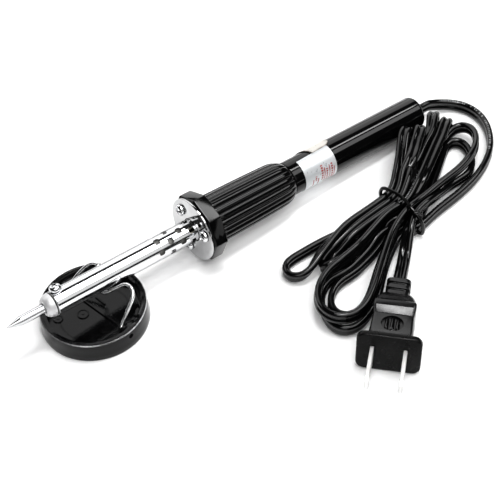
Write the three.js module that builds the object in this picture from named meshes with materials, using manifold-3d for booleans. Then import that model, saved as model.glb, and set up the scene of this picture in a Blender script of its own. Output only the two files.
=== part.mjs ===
// Pencil soldering iron on a small round folding-wire stand, with its flat twin cord and plug.
// Millimetres, +Z up. Origin: centre of the stand's underside on the bench.
// +X runs along the iron from the tip towards the cord end.
import * as THREE from 'three';
import { mergeVertices } from 'three/addons/utils/BufferGeometryUtils.js';
import Module from 'manifold-3d';

// ---------------------------------------------------------------- driving dimensions
// stand
const BASE_R_BOTTOM = 22.2;      // outside radius at the bench
const BASE_R_TOP = 21.5;         // outside radius at the rim
const BASE_H = 8.7;              // rim height
const BASE_FLOOR = 2.4;          // dish floor height
const BASE_LIP_R = 20.4;         // inner radius of the thin outer lip
const BASE_STEP_R = 18.7;        // inner radius of the step below the lip
const BASE_STEP_Z = 7.9;         // height of that step
const STAND_TURN = 9.3;          // stand turned about Z, degrees
// wire rest
const HINGE_Z = 6.0;             // pivot height
const WIRE_R = 0.8;              // wire radius
const REST_LEAN = 48;            // lean from vertical towards the handle, degrees
// iron
const TIP_X = -36.1, IRON_Y = 1.5, TIP_Z = 20.79;   // point of the tip
const IRON_TILT = Math.asin(0.06209);               // the axis falls towards the cord end
const TIP_SHANK_R = 1.95;
const BARREL_R = 5.0, BARREL_BORE = 4.5;
const BARREL_T0 = 20.5, BARREL_T1 = 90.0;
const PLATE_T = 87.0, PLATE_R = 13.85, PLATE_THK = 0.9;
const COLLAR_T0 = 88.2, COLLAR_T1 = 94.6, COLLAR_R = 14.9;
const GRIP_T0 = 94.9, GRIP_T1 = 136.6, GRIP_R0 = 10.65, GRIP_R1 = 9.9;
const REAR_T0 = 136.9, REAR_T1 = 212.1, REAR_R = 7.6;
const FLUTES = 20;
// cord
const CORD_W = 5.6, CORD_T = 2.9;  // flat twin section
// plug
const PLUG_FACE = new THREE.Vector3(72.5, -94.1, 9.54);
const PLUG_HEADING = -139.0, PLUG_PITCH = 6.4;     // blade direction, degrees
const BLADE_SPACING = 12.7;

const rad = (d) => d * Math.PI / 180;
const wasm = await Module();
wasm.setup();

// ---------------------------------------------------------------- helpers
// merge shared vertices, drop collapsed triangles and face the surface outwards
function clean(geometry) {
  const g0 = geometry.clone();
  g0.deleteAttribute('normal');
  g0.deleteAttribute('uv');
  const g = mergeVertices(g0, 1e-4);
  const p = g.attributes.position;
  const src = g.index.array;
  const idx = [];
  let vol = 0;
  const a = new THREE.Vector3(), b = new THREE.Vector3(), c = new THREE.Vector3();
  for (let i = 0; i < src.length; i += 3) {
    const [i0, i1, i2] = [src[i], src[i + 1], src[i + 2]];
    if (i0 === i1 || i1 === i2 || i0 === i2) continue;
    idx.push(i0, i1, i2);
    a.fromBufferAttribute(p, i0); b.fromBufferAttribute(p, i1); c.fromBufferAttribute(p, i2);
    vol += a.dot(b.cross(c)) / 6;
  }
  if (vol < 0) for (let i = 0; i < idx.length; i += 3) { const t = idx[i]; idx[i] = idx[i + 1]; idx[i + 1] = t; }
  const out = new THREE.BufferGeometry();
  out.setAttribute('position', new THREE.BufferAttribute(new Float32Array(p.array), 3));
  out.setIndex(idx);
  return out;
}
function solid(geometry) {
  const g = clean(geometry);
  return new wasm.Manifold(new wasm.Mesh({
    numProp: 3,
    vertProperties: new Float32Array(g.attributes.position.array),
    triVerts: new Uint32Array(g.index.array),
  }));
}
function geometryOf(manifold) {
  const m = manifold.getMesh();
  const g = new THREE.BufferGeometry();
  g.setAttribute('position', new THREE.BufferAttribute(new Float32Array(m.vertProperties), 3));
  g.setIndex(Array.from(m.triVerts));
  return g;
}
const plastic = (color, roughness) => new THREE.MeshStandardMaterial({ color, roughness, metalness: 0 });
const metal = (color, roughness) => new THREE.MeshStandardMaterial({ color, roughness, metalness: 1 });
function mesh(name, geometry, material) {
  const m = new THREE.Mesh(clean(geometry), material);
  m.name = name;
  return m;
}
// revolve a closed or axis-to-axis profile [[x, r], ...] about X
function turned(profile, segments, phase = 0) {
  const g = new THREE.LatheGeometry(profile.map(([x, r]) => new THREE.Vector2(r, x)), segments, phase);
  return g.applyMatrix4(new THREE.Matrix4().makeRotationZ(-Math.PI / 2));
}
// revolve about Z
function turnedZ(profile, segments) {
  const g = new THREE.LatheGeometry(profile.map(([r, z]) => new THREE.Vector2(r, z)), segments);
  return g.applyMatrix4(new THREE.Matrix4().makeRotationX(Math.PI / 2));
}
// a cylinder from a to b
function rod(a, b, r, segments) {
  const A = new THREE.Vector3(...a), B = new THREE.Vector3(...b);
  const g = new THREE.CylinderGeometry(r, r, A.distanceTo(B), segments);
  const q = new THREE.Quaternion().setFromUnitVectors(new THREE.Vector3(0, 1, 0), B.clone().sub(A).normalize());
  return g.applyMatrix4(new THREE.Matrix4().compose(A.clone().add(B).multiplyScalar(0.5), q, new THREE.Vector3(1, 1, 1)));
}
function box(x0, x1, y0, y1, z0, z1) {
  const g = new THREE.BoxGeometry(x1 - x0, y1 - y0, z1 - z0);
  return g.translate((x0 + x1) / 2, (y0 + y1) / 2, (z0 + z1) / 2);
}
function roundedRect(w, h, r) {
  const s = new THREE.Shape();
  const x = w / 2, y = h / 2;
  s.moveTo(-x + r, -y);
  s.lineTo(x - r, -y); s.absarc(x - r, -y + r, r, -Math.PI / 2, 0);
  s.lineTo(x, y - r); s.absarc(x - r, y - r, r, 0, Math.PI / 2);
  s.lineTo(-x + r, y); s.absarc(-x + r, y - r, r, Math.PI / 2, Math.PI);
  s.lineTo(-x, -y + r); s.absarc(-x + r, -y + r, r, Math.PI, 1.5 * Math.PI);
  return s;
}
// extrude a shape drawn in (y, z) along +X from x0 to x1
function alongX(shape, x0, x1, curveSegments = 3) {
  const g = new THREE.ExtrudeGeometry(shape, { depth: x1 - x0, bevelEnabled: false, curveSegments });
  const m = new THREE.Matrix4().makeBasis(new THREE.Vector3(0, 1, 0), new THREE.Vector3(0, 0, 1), new THREE.Vector3(1, 0, 0));
  return g.applyMatrix4(m).translate(x0, 0, 0);
}
function tube(points, section, steps) {
  const curve = new THREE.CatmullRomCurve3(points, false, 'centripetal');
  return new THREE.ExtrudeGeometry(section, { steps, bevelEnabled: false, extrudePath: curve, curveSegments: 1 });
}
function polygon(pts) { return new THREE.Shape(pts.map(([x, y]) => new THREE.Vector2(x, y))); }
function ngon(r, n) {
  return polygon(Array.from({ length: n }, (_, i) => [r * Math.cos(2 * Math.PI * (i + 0.5) / n), r * Math.sin(2 * Math.PI * (i + 0.5) / n)]));
}

const object = new THREE.Group();

// ================================================================ stand
const stand = new THREE.Group();
stand.rotation.z = rad(STAND_TURN);
object.add(stand);

const blackGloss = () => plastic(0x0c0c0d, 0.22);
const blackSatin = () => plastic(0x1a1a1b, 0.45);
const bright = () => metal(0xd9dadc, 0.18);

{
  // moulded dish: solid foot, thin lip, step and recessed floor
  let dish = solid(turnedZ([
    [0, 0], [BASE_R_BOTTOM - 0.5, 0], [BASE_R_BOTTOM, 0.5], [BASE_R_TOP + 0.08, BASE_H - 0.4], [BASE_R_TOP - 0.3, BASE_H],
    [BASE_LIP_R, BASE_H], [BASE_LIP_R, BASE_STEP_Z], [BASE_STEP_R, BASE_STEP_Z - 0.1], [BASE_STEP_R - 0.2, BASE_FLOOR], [0, BASE_FLOOR],
  ], 72));
  // crescent ribs beside the wire's two feet
  for (const sign of [-1, 1]) {
    const c = sign < 0 ? -Math.PI / 2 : Math.PI / 2;
    const a0 = sign < 0 ? c - rad(5) : c - rad(38);
    const a1 = sign < 0 ? c + rad(38) : c + rad(5);
    const s = new THREE.Shape();
    s.absarc(0, 0, 18.9, a0, a1, false);
    s.absarc(0, 0, 17.1, a1, a0, true);
    const rib = new THREE.ExtrudeGeometry(s, { depth: 7.3 - BASE_FLOOR + 0.4, bevelEnabled: false, curveSegments: 10 });
    rib.translate(0, 0, BASE_FLOOR - 0.4);
    dish = dish.add(solid(rib));
  }
  // cross ribs and small round bosses moulded on the floor
  const local = (x, y) => { const c = Math.cos(rad(-STAND_TURN)), s = Math.sin(rad(-STAND_TURN)); return [x * c - y * s, x * s + y * c]; };
  const ribAt = (x0, y0, x1, y1, w, h) => {
    const [ax, ay] = local(x0, y0), [bx, by] = local(x1, y1);
    const L = Math.hypot(bx - ax, by - ay);
    const g = box(0, L, -w / 2, w / 2, BASE_FLOOR - 0.4, BASE_FLOOR + h);
    g.applyMatrix4(new THREE.Matrix4().makeRotationZ(Math.atan2(by - ay, bx - ax))).translate(ax, ay, 0);
    return solid(g);
  };
  dish = dish.add(ribAt(0.3, 7.9, 3.6, -10.5, 0.9, 0.7));
  dish = dish.add(ribAt(5.0, 6.7, 5.7, 1.2, 0.8, 0.6));
  for (const [x, y, r] of [[-13.0, 7.0, 2.0], [-3.9, 2.7, 2.4], [-2.3, -8.8, 1.9], [-9.1, -9.4, 2.1]]) {
    const [lx, ly] = local(x, y);
    dish = dish.add(solid(rod([lx, ly, BASE_FLOOR - 0.4], [lx, ly, BASE_FLOOR + 0.5], r, 20)));
  }
  // two pivot holes through rim and rib
  for (const s of [-1, 1]) dish = dish.subtract(solid(rod([0, s * 15.9, HINGE_Z], [0, s * 23.5, HINGE_Z], WIRE_R + 0.25, 16)));
  stand.add(mesh('stand_base', geometryOf(dish), blackSatin()));
}
{
  // wire rest: both feet turned outwards into the pivot holes, a V between the shoulders
  // (towards the -Y foot, height along the leaning plane)
  const form = [[20.7, 0], [17.4, 0], [16.2, 0.25], [15.45, 1.5], [15.0, 5], [14.5, 9], [14.1, 11.8], [13.3, 14.0], [11.4, 15.6], [8.9, 15.8],
    [7.1, 14.7], [5.45, 12.8], [3.8, 10.6], [2.2, 8.5], [0.2, 7.5], [-1.8, 8.3], [-3.7, 10.5], [-5.35, 12.9], [-6.9, 14.6], [-8.6, 15.3], [-10.6, 14.5],
    [-12.3, 12.6], [-13.6, 9.6], [-14.6, 6.2], [-15.2, 3], [-15.5, 1.5], [-16.2, 0.25], [-17.4, 0], [-20.7, 0]];
  const b = rad(REST_LEAN);
  const pts = form.map(([e, u]) => new THREE.Vector3(u * Math.sin(b), -e, HINGE_Z + u * Math.cos(b)));
  stand.add(mesh('wire_rest', tube(pts, ngon(WIRE_R, 8), 96), bright()));
}

// ================================================================ iron
const iron = new THREE.Group();
iron.position.set(TIP_X, IRON_Y, TIP_Z);
iron.rotation.y = IRON_TILT;
object.add(iron);
const onRim = (r, deg) => [r * Math.cos(rad(deg)), r * Math.sin(rad(deg))];   // (y, z) at an angle from +Y towards +Z
const SCREW_ANG = 72.6;                       // tip screw, degrees round the barrel
const PLATE_SCREW_ANG = [39.6, 159.6, -80.4];
const COLLAR_PHASE = 132.1;                   // one corner of the octagon

// copper bit: long cone, plain shank into the barrel
iron.add(mesh('tip', turned([[0, 0], [0.15, 0.28], [5.2, 1.75], [6.0, TIP_SHANK_R], [33.6, TIP_SHANK_R], [34, TIP_SHANK_R - 0.3], [34, 0]], 24), metal(0xc9cacd, 0.22)));
{
  // front cap: domed nose with a spigot inside the barrel
  let nose = solid(turned([[16.2, 2.25], [16.2, 3.2], [16.6, 3.75], [17.6, 4.45], [18.9, 4.85], [20.2, 5.0], [20.2, 4.2], [30.0, 4.2], [30.0, 2.25], [16.2, 2.25]], 40));
  const [y1, z1] = onRim(6, SCREW_ANG), [y0, z0] = onRim(0.5, SCREW_ANG);
  nose = nose.subtract(solid(rod([23.0, y0, z0], [23.0, y1, z1], 1.5, 14)));
  iron.add(mesh('nozzle', geometryOf(nose), bright()));
}
{
  // tip set screw: pan head outside, shank down to the bit
  const prof = [[2.2, 0], [2.2, 1.25], [5.3, 1.25], [5.3, 2.5], [6.5, 2.5], [7.15, 1.9], [7.5, 0.9], [7.5, 0]];
  const g = turned(prof, 20).applyMatrix4(new THREE.Matrix4().makeRotationZ(Math.PI / 2));    // +X -> +Y
  g.applyMatrix4(new THREE.Matrix4().makeRotationX(rad(SCREW_ANG))).translate(23.0, 0, 0);
  let s = solid(g);
  const [ya, za] = onRim(7.1, SCREW_ANG), [yb, zb] = onRim(8.2, SCREW_ANG);
  for (const turn of [25, 115]) {
    const slot = new THREE.BoxGeometry(0.75, 1.1, 3.4);
    slot.applyMatrix4(new THREE.Matrix4().makeRotationY(rad(turn)));
    slot.applyMatrix4(new THREE.Matrix4().makeRotationX(rad(SCREW_ANG)));
    slot.translate(23.0, (ya + yb) / 2, (za + zb) / 2);
    s = s.subtract(solid(slot));
  }
  iron.add(mesh('tip_set_screw', geometryOf(s), bright()));
}
{
  // barrel: thin tube with four staggered rings of vent holes near the plate
  let tubeSolid = solid(turned([[BARREL_T0, BARREL_BORE], [BARREL_T0, BARREL_R], [BARREL_T1, BARREL_R], [BARREL_T1, BARREL_BORE], [BARREL_T0, BARREL_BORE]], 48));
  const [y1, z1] = onRim(7, SCREW_ANG), [y0, z0] = onRim(2, SCREW_ANG);
  tubeSolid = tubeSolid.subtract(solid(rod([23.0, y0, z0], [23.0, y1, z1], 1.6, 14)));
  [69.0, 74.3, 79.6, 84.6].forEach((t, ring) => {
    for (let k = 0; k < 6; k++) {
      const ang = 129.6 + (ring % 2 ? 0 : 30) + 60 * k;
      const w = 2.6, s = roundedRect(w, w, 0.8);
      const g = new THREE.ExtrudeGeometry(s, { depth: 3, bevelEnabled: false, curveSegments: 1 });
      g.translate(0, 0, 3.4);                                                       // radial along +Z
      g.applyMatrix4(new THREE.Matrix4().makeRotationX(rad(ang - 90))).translate(t, 0, 0);
      tubeSolid = tubeSolid.subtract(solid(g));
    }
  });
  iron.add(mesh('barrel', geometryOf(tubeSolid), bright()));
}
// heater: ceramic core, winding, mica wrap, two insulated leads
iron.add(mesh('heater_core', turned([[35, 0], [35, 2.2], [80, 2.2], [80, 0]], 16), plastic(0xe6dfd2, 0.8)));
iron.add(mesh('heater_winding', turned([[38, 2.5], [38, 3.1], [78, 3.1], [78, 2.5], [38, 2.5]], 20), metal(0x9a8f85, 0.4)));
iron.add(mesh('mica_sleeve', turned([[35, 3.5], [35, 3.9], [82, 3.9], [82, 3.5], [35, 3.5]], 24), plastic(0xcfc4a8, 0.5)));
[[1, 1], [-1, 2]].forEach(([s, n]) => {
  iron.add(mesh(`lead_sleeve_${n}`, rod([81, 2.0 * s, 0], [124, 2.0 * s, 0], 0.9, 10), plastic(0xf0ece0, 0.8)));
  iron.add(mesh(`crimp_${n}`, rod([124.4, 2.0 * s, 0], [134.4, 2.0 * s, 0], 1.4, 12), metal(0xc8cacc, 0.35)));
});
{
  // polished mounting plate with a centre hole and three screw holes
  let plate = solid(turned([[PLATE_T, 5.25], [PLATE_T, PLATE_R - 0.15], [PLATE_T + 0.15, PLATE_R], [PLATE_T + PLATE_THK, PLATE_R], [PLATE_T + PLATE_THK, 5.25], [PLATE_T, 5.25]], 60));
  for (const a of PLATE_SCREW_ANG) {
    const [y, z] = onRim(9.5, a);
    plate = plate.subtract(solid(rod([PLATE_T - 1, y, z], [PLATE_T + 2, y, z], 1.6, 12)));
  }
  iron.add(mesh('mounting_plate', geometryOf(plate), metal(0xd4d5d7, 0.08)));
}
PLATE_SCREW_ANG.forEach((a, i) => {
  const [y, z] = onRim(9.5, a);
  const t = PLATE_T - 0.15;
  let s = solid(turned([[t - 1.7, 0], [t - 1.7, 0.9], [t - 1.35, 1.8], [t - 0.7, 2.35], [t, 2.5], [t, 1.3], [t + 7.2, 1.3], [t + 7.2, 0]], 20).translate(0, y, z));
  for (const turn of [20, 110]) {
    const slot = new THREE.BoxGeometry(1.2, 0.75, 3.2);
    slot.applyMatrix4(new THREE.Matrix4().makeRotationX(rad(turn + 33 * i))).translate(t - 1.75, y, z);
    s = s.subtract(solid(slot));
  }
  iron.add(mesh(`plate_screw_${i + 1}`, geometryOf(s), bright()));
});
{
  // octagonal collar: keeps the iron from rolling; chamfered edges, bore for the leads
  const prof = [[COLLAR_T0, 6.0], [COLLAR_T0, COLLAR_R - 0.7], [COLLAR_T0 + 0.6, COLLAR_R], [COLLAR_T1 - 0.4, COLLAR_R], [COLLAR_T1, COLLAR_R - 0.5], [COLLAR_T1, 6.0], [COLLAR_T0, 6.0]];
  // LatheGeometry starts at +Y of its own frame, which becomes +Z here: phase measured from +Z towards +Y
  let collar = solid(turned(prof, 8, rad(0)));
  collar = collar; // eight flats
  const g = geometryOf(collar).applyMatrix4(new THREE.Matrix4().makeRotationX(rad(COLLAR_PHASE)));
  let c = solid(g);
  for (const a of PLATE_SCREW_ANG) {
    const [y, z] = onRim(9.5, a);
    c = c.subtract(solid(rod([COLLAR_T0 - 1, y, z], [COLLAR_T1 - 0.2, y, z], 1.6, 12)));
  }
  iron.add(mesh('octagon_collar', geometryOf(c), blackGloss()));
}
{
  // fluted grip: twenty rounded ribs, tapering, rounded into the neck; stepped bore
  const stations = [[GRIP_T0, GRIP_R0 - 0.35, 0.7], [GRIP_T0 + 0.4, GRIP_R0, 0.8], [112, 10.45, 0.8], [124, 10.15, 0.75], [130.5, GRIP_R1, 0.7],
    [133.2, 9.45, 0.6], [135.2, 8.75, 0.35], [GRIP_T1, 7.7, 0]];
  const per = 6, n = FLUTES * per;
  const ring = stations.map(([t, r, d]) => Array.from({ length: n }, (_, i) => {
    const a = 2 * Math.PI * i / n;
    const k = Math.abs(Math.sin(a * FLUTES / 2));
    const rr = r - d * (1 - k) * (1 - k) * 1.0;
    return [t, rr * Math.cos(a), rr * Math.sin(a)];
  }));
  const pos = [], idx = [];
  ring.flat().forEach((v) => pos.push(...v));
  const cA = pos.length / 3; pos.push(GRIP_T0, 0, 0);
  const cB = pos.length / 3; pos.push(GRIP_T1, 0, 0);
  for (let s = 0; s < ring.length - 1; s++) for (let i = 0; i < n; i++) {
    const j = (i + 1) % n, a = s * n + i, b = s * n + j, c = (s + 1) * n + j, d = (s + 1) * n + i;
    idx.push(a, b, c, a, c, d);
  }
  for (let i = 0; i < n; i++) { const j = (i + 1) % n; idx.push(cA, j, i); const o = (ring.length - 1) * n; idx.push(cB, o + i, o + j); }
  const g = new THREE.BufferGeometry();
  g.setAttribute('position', new THREE.BufferAttribute(new Float32Array(pos), 3));
  g.setIndex(idx);
  const bore = solid(turned([[GRIP_T0 - 1, 0], [GRIP_T0 - 1, 6.0], [126, 6.0], [126, 6.5], [GRIP_T1 + 1, 6.5], [GRIP_T1 + 1, 0]], 32));
  iron.add(mesh('fluted_grip', geometryOf(solid(g).subtract(bore)), blackGloss()));
}
{
  // rear handle: smooth tube, spigot into the grip, closed end with an oval cord hole
  let h = solid(turned([[127, 5.0], [127, 6.15], [REAR_T0, 6.15], [REAR_T0, REAR_R - 0.3], [REAR_T0 + 0.4, REAR_R], [REAR_T1 - 1.6, REAR_R], [REAR_T1 - 0.7, REAR_R - 0.35],
    [REAR_T1, REAR_R - 1.4], [REAR_T1, 0], [REAR_T1 - 2.2, 0], [REAR_T1 - 2.2, 5.8], [139.5, 5.8], [139.5, 5.0], [127, 5.0]], 48));
  h = h.subtract(solid(alongX(roundedRect(CORD_T + 0.9, CORD_W + 0.9, 1.8), REAR_T1 - 3, REAR_T1 + 1)));
  iron.add(mesh('rear_handle', geometryOf(h), blackGloss()));
}
// foil label wrapped round the rear handle
iron.add(mesh('foil_label', turned([[141.8, 7.72], [141.8, 7.84], [159.1, 7.84], [159.1, 7.72], [141.8, 7.72]], 48), metal(0xdfe1e4, 0.3)));
// cord anchor and the cord's end inside the handle
iron.add(mesh('cord_tail', alongX(roundedRect(CORD_T, CORD_W, 1.3), 146, REAR_T1 - 0.15, 2), blackSatin()));
{
  let clamp = solid(alongX(roundedRect(9.6, 9.6, 3.2), 190, 197, 3));
  clamp = clamp.subtract(solid(alongX(roundedRect(CORD_T + 0.6, CORD_W + 0.6, 1.5), 189, 198, 3)));
  iron.add(mesh('cord_clamp', geometryOf(clamp), plastic(0x8c8c88, 0.6)));
}

// ================================================================ cord and plug
// the flat cord stands on edge: z is the height of its centre line
const runPts = [[176.05, 1.5, 7.65], [178.8, 1.5, 7.2], [182.6, 1.6, 6.1], [186.6, 1.5, 4.9], [190.6, 0.4, 4.0], [194.2, -1.6, 3.5], [197.4, -4.8, 3.2], [199.4, -9.2, 3.0], [200.0, -14.4, 2.95],
  [198.6, -20.6, 2.95], [195.0, -27.1, 2.95], [190.0, -33.0, 2.95], [183.9, -37.6, 2.95], [176.6, -41.3, 2.95], [168.6, -44.0, 2.95], [160.6, -45.6, 2.95], [152.6, -46.6, 2.95], [146.0, -47.2, 2.95]]
  .map((p) => new THREE.Vector3(...p));
const cordSection = polygon([[-2.0, -1.45], [2.0, -1.45], [2.8, -0.7], [2.8, 0.7], [2.0, 1.45], [-2.0, 1.45], [-2.8, 0.7], [-2.8, -0.7]]);
{
  // section swept with its width kept vertical
  const curve = new THREE.CatmullRomCurve3(runPts, false, 'centripetal');
  const steps = 44, sec = cordSection.getPoints();
  const pos = [], idx = [];
  const up = new THREE.Vector3(0, 0, 1);
  const outline = sec[0].equals(sec[sec.length - 1]) ? sec.slice(0, -1) : sec;
  const n = outline.length;
  for (let i = 0; i <= steps; i++) {
    const p = curve.getPointAt(i / steps), t = curve.getTangentAt(i / steps);
    const side = new THREE.Vector3().crossVectors(t, up).normalize(), v = new THREE.Vector3().crossVectors(side, t);
    for (const q of outline) pos.push(...p.clone().addScaledVector(v, q.x).addScaledVector(side, q.y).toArray());
  }
  for (let s = 0; s < steps; s++) for (let k = 0; k < n; k++) {
    const a = s * n + k, b = s * n + (k + 1) % n, c = a + n, d = b + n;
    idx.push(a, b, d, a, d, c);
  }
  const e0 = pos.length / 3; pos.push(...runPts[0].toArray());
  const e1 = pos.length / 3; pos.push(...runPts[runPts.length - 1].toArray());
  for (let k = 0; k < n; k++) { idx.push(e0, (k + 1) % n, k); idx.push(e1, steps * n + k, steps * n + (k + 1) % n); }
  const g = new THREE.BufferGeometry();
  g.setAttribute('position', new THREE.BufferAttribute(new Float32Array(pos), 3));
  g.setIndex(idx);
  object.add(mesh('cord_run', g, blackSatin()));
}
// the hank: outline of the two lobes, round edges
const hankOutline = [[132.5, -29.5], [140.0, -22.0], [150.0, -15.0], [159.5, -9.4], [167.0, -8.0], [174.0, -7.6], [178.4, -4.8], [183.2, -3.6], [187.6, -7.4], [190.0, -14.5],
  [190.0, -22.0], [187.0, -28.0], [181.0, -33.4], [173.0, -38.0], [163.0, -41.2], [150.0, -43.6], [143.4, -44.6], [140.2, -50.6], [126.4, -51.4], [121.2, -50.0], [112.0, -53.6], [103.0, -59.6],
  [95.2, -64.6], [90.2, -67.4], [84.0, -72.6], [77.0, -74.8], [70.6, -72.6], [67.2, -66.6], [66.2, -58.8], [68.0, -51.6], [71.6, -46.4], [68.4, -43.4], [66.0, -38.0], [67.6, -33.2], [73.0, -30.0], [84.0, -27.6],
  [100.0, -26.0], [114.0, -25.8], [123.0, -27.2], [126.6, -29.0]];
{
  const lobes = new THREE.ExtrudeGeometry(polygon(hankOutline), { depth: 9.4, bevelEnabled: true, bevelThickness: 1.6, bevelSize: 1.4, bevelOffset: -1.4, bevelSegments: 2 }).translate(0, 0, 1.7);
  let hank = solid(lobes);
  // nipped in under the tie, above and below
  for (const [z0, z1] of [[-1, 1.6], [10.6, 14]]) {
    const nip = box(-1.6, 1.6, -15, 15, z0, z1).applyMatrix4(new THREE.Matrix4().makeRotationZ(rad(-7))).translate(130.2, -40.3, 0);
    hank = hank.subtract(solid(nip));
  }
  object.add(mesh('cord_hank', geometryOf(hank), blackSatin()));
}

// ---------------------------------------------------------------- plug, in its own frame: +X along the blades
const plug = new THREE.Group();
plug.position.copy(PLUG_FACE);
plug.rotation.set(0, -rad(PLUG_PITCH), rad(PLUG_HEADING), 'ZYX');
object.add(plug);
{
  let body = solid(alongX(roundedRect(25, 18.4, 3.2), -2.6, 0, 4));
  // tapered middle: loft from flange to shoulder
  const loft = (x0, w0, h0, x1, w1, h1, c) => {
    const ringAt = (x, w, h) => [[-w / 2 + c, -h / 2], [w / 2 - c, -h / 2], [w / 2, -h / 2 + c], [w / 2, h / 2 - c], [w / 2 - c, h / 2], [-w / 2 + c, h / 2], [-w / 2, h / 2 - c], [-w / 2, -h / 2 + c]].map(([y, z]) => [x, y, z]);
    const A = ringAt(x0, w0, h0), B = ringAt(x1, w1, h1), pos = [...A, ...B, [x0, 0, 0], [x1, 0, 0]].flat(), idx = [];
    for (let k = 0; k < 8; k++) { const j = (k + 1) % 8; idx.push(k, j, 8 + j, k, 8 + j, 8 + k, 16, j, k, 17, 8 + k, 8 + j); }
    const g = new THREE.BufferGeometry();
    g.setAttribute('position', new THREE.BufferAttribute(new Float32Array(pos), 3));
    g.setIndex(idx);
    return solid(g);
  };
  body = body.add(loft(-2.4, 18.0, 15.5, -9, 16.4, 12.6, 1.6));
  body = body.add(loft(-8.8, 16.4, 12.6, -24.0, 15.6, 11.6, 1.6));
  body = body.add(loft(-22.6, 16.4, 12.4, -26.0, 16.4, 12.0, 1.6));
  body = body.add(loft(-25.8, 15.6, 11.4, -29.5, 12.0, 9.4, 1.6));
  // strain relief: core and three ribs
  body = body.add(loft(-29.3, 8.2, 6.6, -40.5, 7.2, 5.2, 1.2));
  for (const x of [-30.8, -34.4, -38.0]) body = body.add(loft(x - 1.1, 9.8, 7.8, x + 1.1, 9.8, 7.8, 1.8));
  // finger recess on the top and pockets for the blades
  body = body.subtract(solid(rod([-15.5, 0, 9.6], [-15.5, 0, 5.6], 5.2, 24)));
  for (const s of [-1, 1]) {
    const y = s * BLADE_SPACING / 2;
    body = body.subtract(solid(box(-8.6, 1, y - 0.95, y + 0.95, -3.4, 3.4)));
  }
  // cord socket in the relief's end
  body = body.subtract(solid(box(-42, -38.9, -3.1, 3.1, -1.75, 1.75)));
  plug.add(mesh('plug_body', geometryOf(body), plastic(0x161617, 0.5)));
}
[[1, 1], [-1, 2]].forEach(([s, n]) => {
  const y = s * BLADE_SPACING / 2, top = 17.2;
  const sh = polygon([[-8.2, -3.175], [top - 2.2, -3.175], [top, -1.9], [top, 1.9], [top - 2.2, 3.175], [-8.2, 3.175]]);
  const hole = new THREE.Path();
  hole.absarc(top - 4.4, 0, 1.55, 0, 2 * Math.PI, true);
  sh.holes.push(hole);
  const g = new THREE.ExtrudeGeometry(sh, { depth: 1.5, bevelEnabled: false, curveSegments: 8 });
  // drawn in (x, z), thickness along y
  g.applyMatrix4(new THREE.Matrix4().makeRotationX(Math.PI / 2)).translate(0, y + 0.75, 0);
  plug.add(mesh(`plug_blade_${n}`, g, metal(0xd8d6cf, 0.25)));
});

// plug lead: from the hank's waist to the plug's relief
{
  const dir = new THREE.Vector3(Math.cos(rad(PLUG_HEADING)) * Math.cos(rad(PLUG_PITCH)), Math.sin(rad(PLUG_HEADING)) * Math.cos(rad(PLUG_PITCH)), Math.sin(rad(PLUG_PITCH)));
  const at = (x) => PLUG_FACE.clone().addScaledVector(dir, x);
  const end = at(-40.8), before = at(-43.5);
  const pts = [end, before, new THREE.Vector3(110.8, -60.6, 3.6), new THREE.Vector3(114.6, -57.2, 3.2), new THREE.Vector3(117.2, -54.9, 3.1)];
  const curve = new THREE.CatmullRomCurve3(pts, false, 'centripetal');
  const steps = 8, pos = [], idx = [], n = 8;
  const sec = [[-2.0, -1.45], [2.0, -1.45], [2.8, -0.7], [2.8, 0.7], [2.0, 1.45], [-2.0, 1.45], [-2.8, 0.7], [-2.8, -0.7]];
  for (let i = 0; i <= steps; i++) {
    const p = curve.getPointAt(i / steps), t = curve.getTangentAt(i / steps);
    const side = new THREE.Vector3().crossVectors(t, new THREE.Vector3(0, 0, 1)).normalize(), v = new THREE.Vector3().crossVectors(side, t);
    // width lies flat here
    for (const q of sec) pos.push(...p.clone().addScaledVector(side, q[0]).addScaledVector(v, q[1]).toArray());
  }
  for (let s = 0; s < steps; s++) for (let k = 0; k < n; k++) { const a = s * n + k, b = s * n + (k + 1) % n, c = a + n, d = b + n; idx.push(a, b, d, a, d, c); }
  const e0 = pos.length / 3; pos.push(...pts[0].toArray());
  const e1 = pos.length / 3; pos.push(...pts[pts.length - 1].toArray());
  for (let k = 0; k < n; k++) { idx.push(e0, (k + 1) % n, k); idx.push(e1, steps * n + k, steps * n + (k + 1) % n); }
  const g = new THREE.BufferGeometry();
  g.setAttribute('position', new THREE.BufferAttribute(new Float32Array(pos), 3));
  g.setIndex(idx);
  object.add(mesh('cord_plug_lead', g, blackSatin()));
}
{
  // tie: a closed band round the hank's waist
  const outer = roundedRect(25.4, 11.6, 2.4), inner = roundedRect(23.0, 9.6, 1.0);
  outer.holes.push(inner);
  const g = alongX(outer, -0.9, 0.9, 4);
  g.applyMatrix4(new THREE.Matrix4().makeRotationZ(rad(-7))).translate(130.2, -40.3, 6.1);
  object.add(mesh('hank_tie', g, plastic(0x101010, 0.35)));
}

export default object;
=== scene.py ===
# Detailed visual model of the pencil soldering iron, its small wire-rest stand and its tied flat cord.
import bpy, bmesh, math
import numpy as np
from mathutils import Vector, Matrix, Quaternion, Euler


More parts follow.
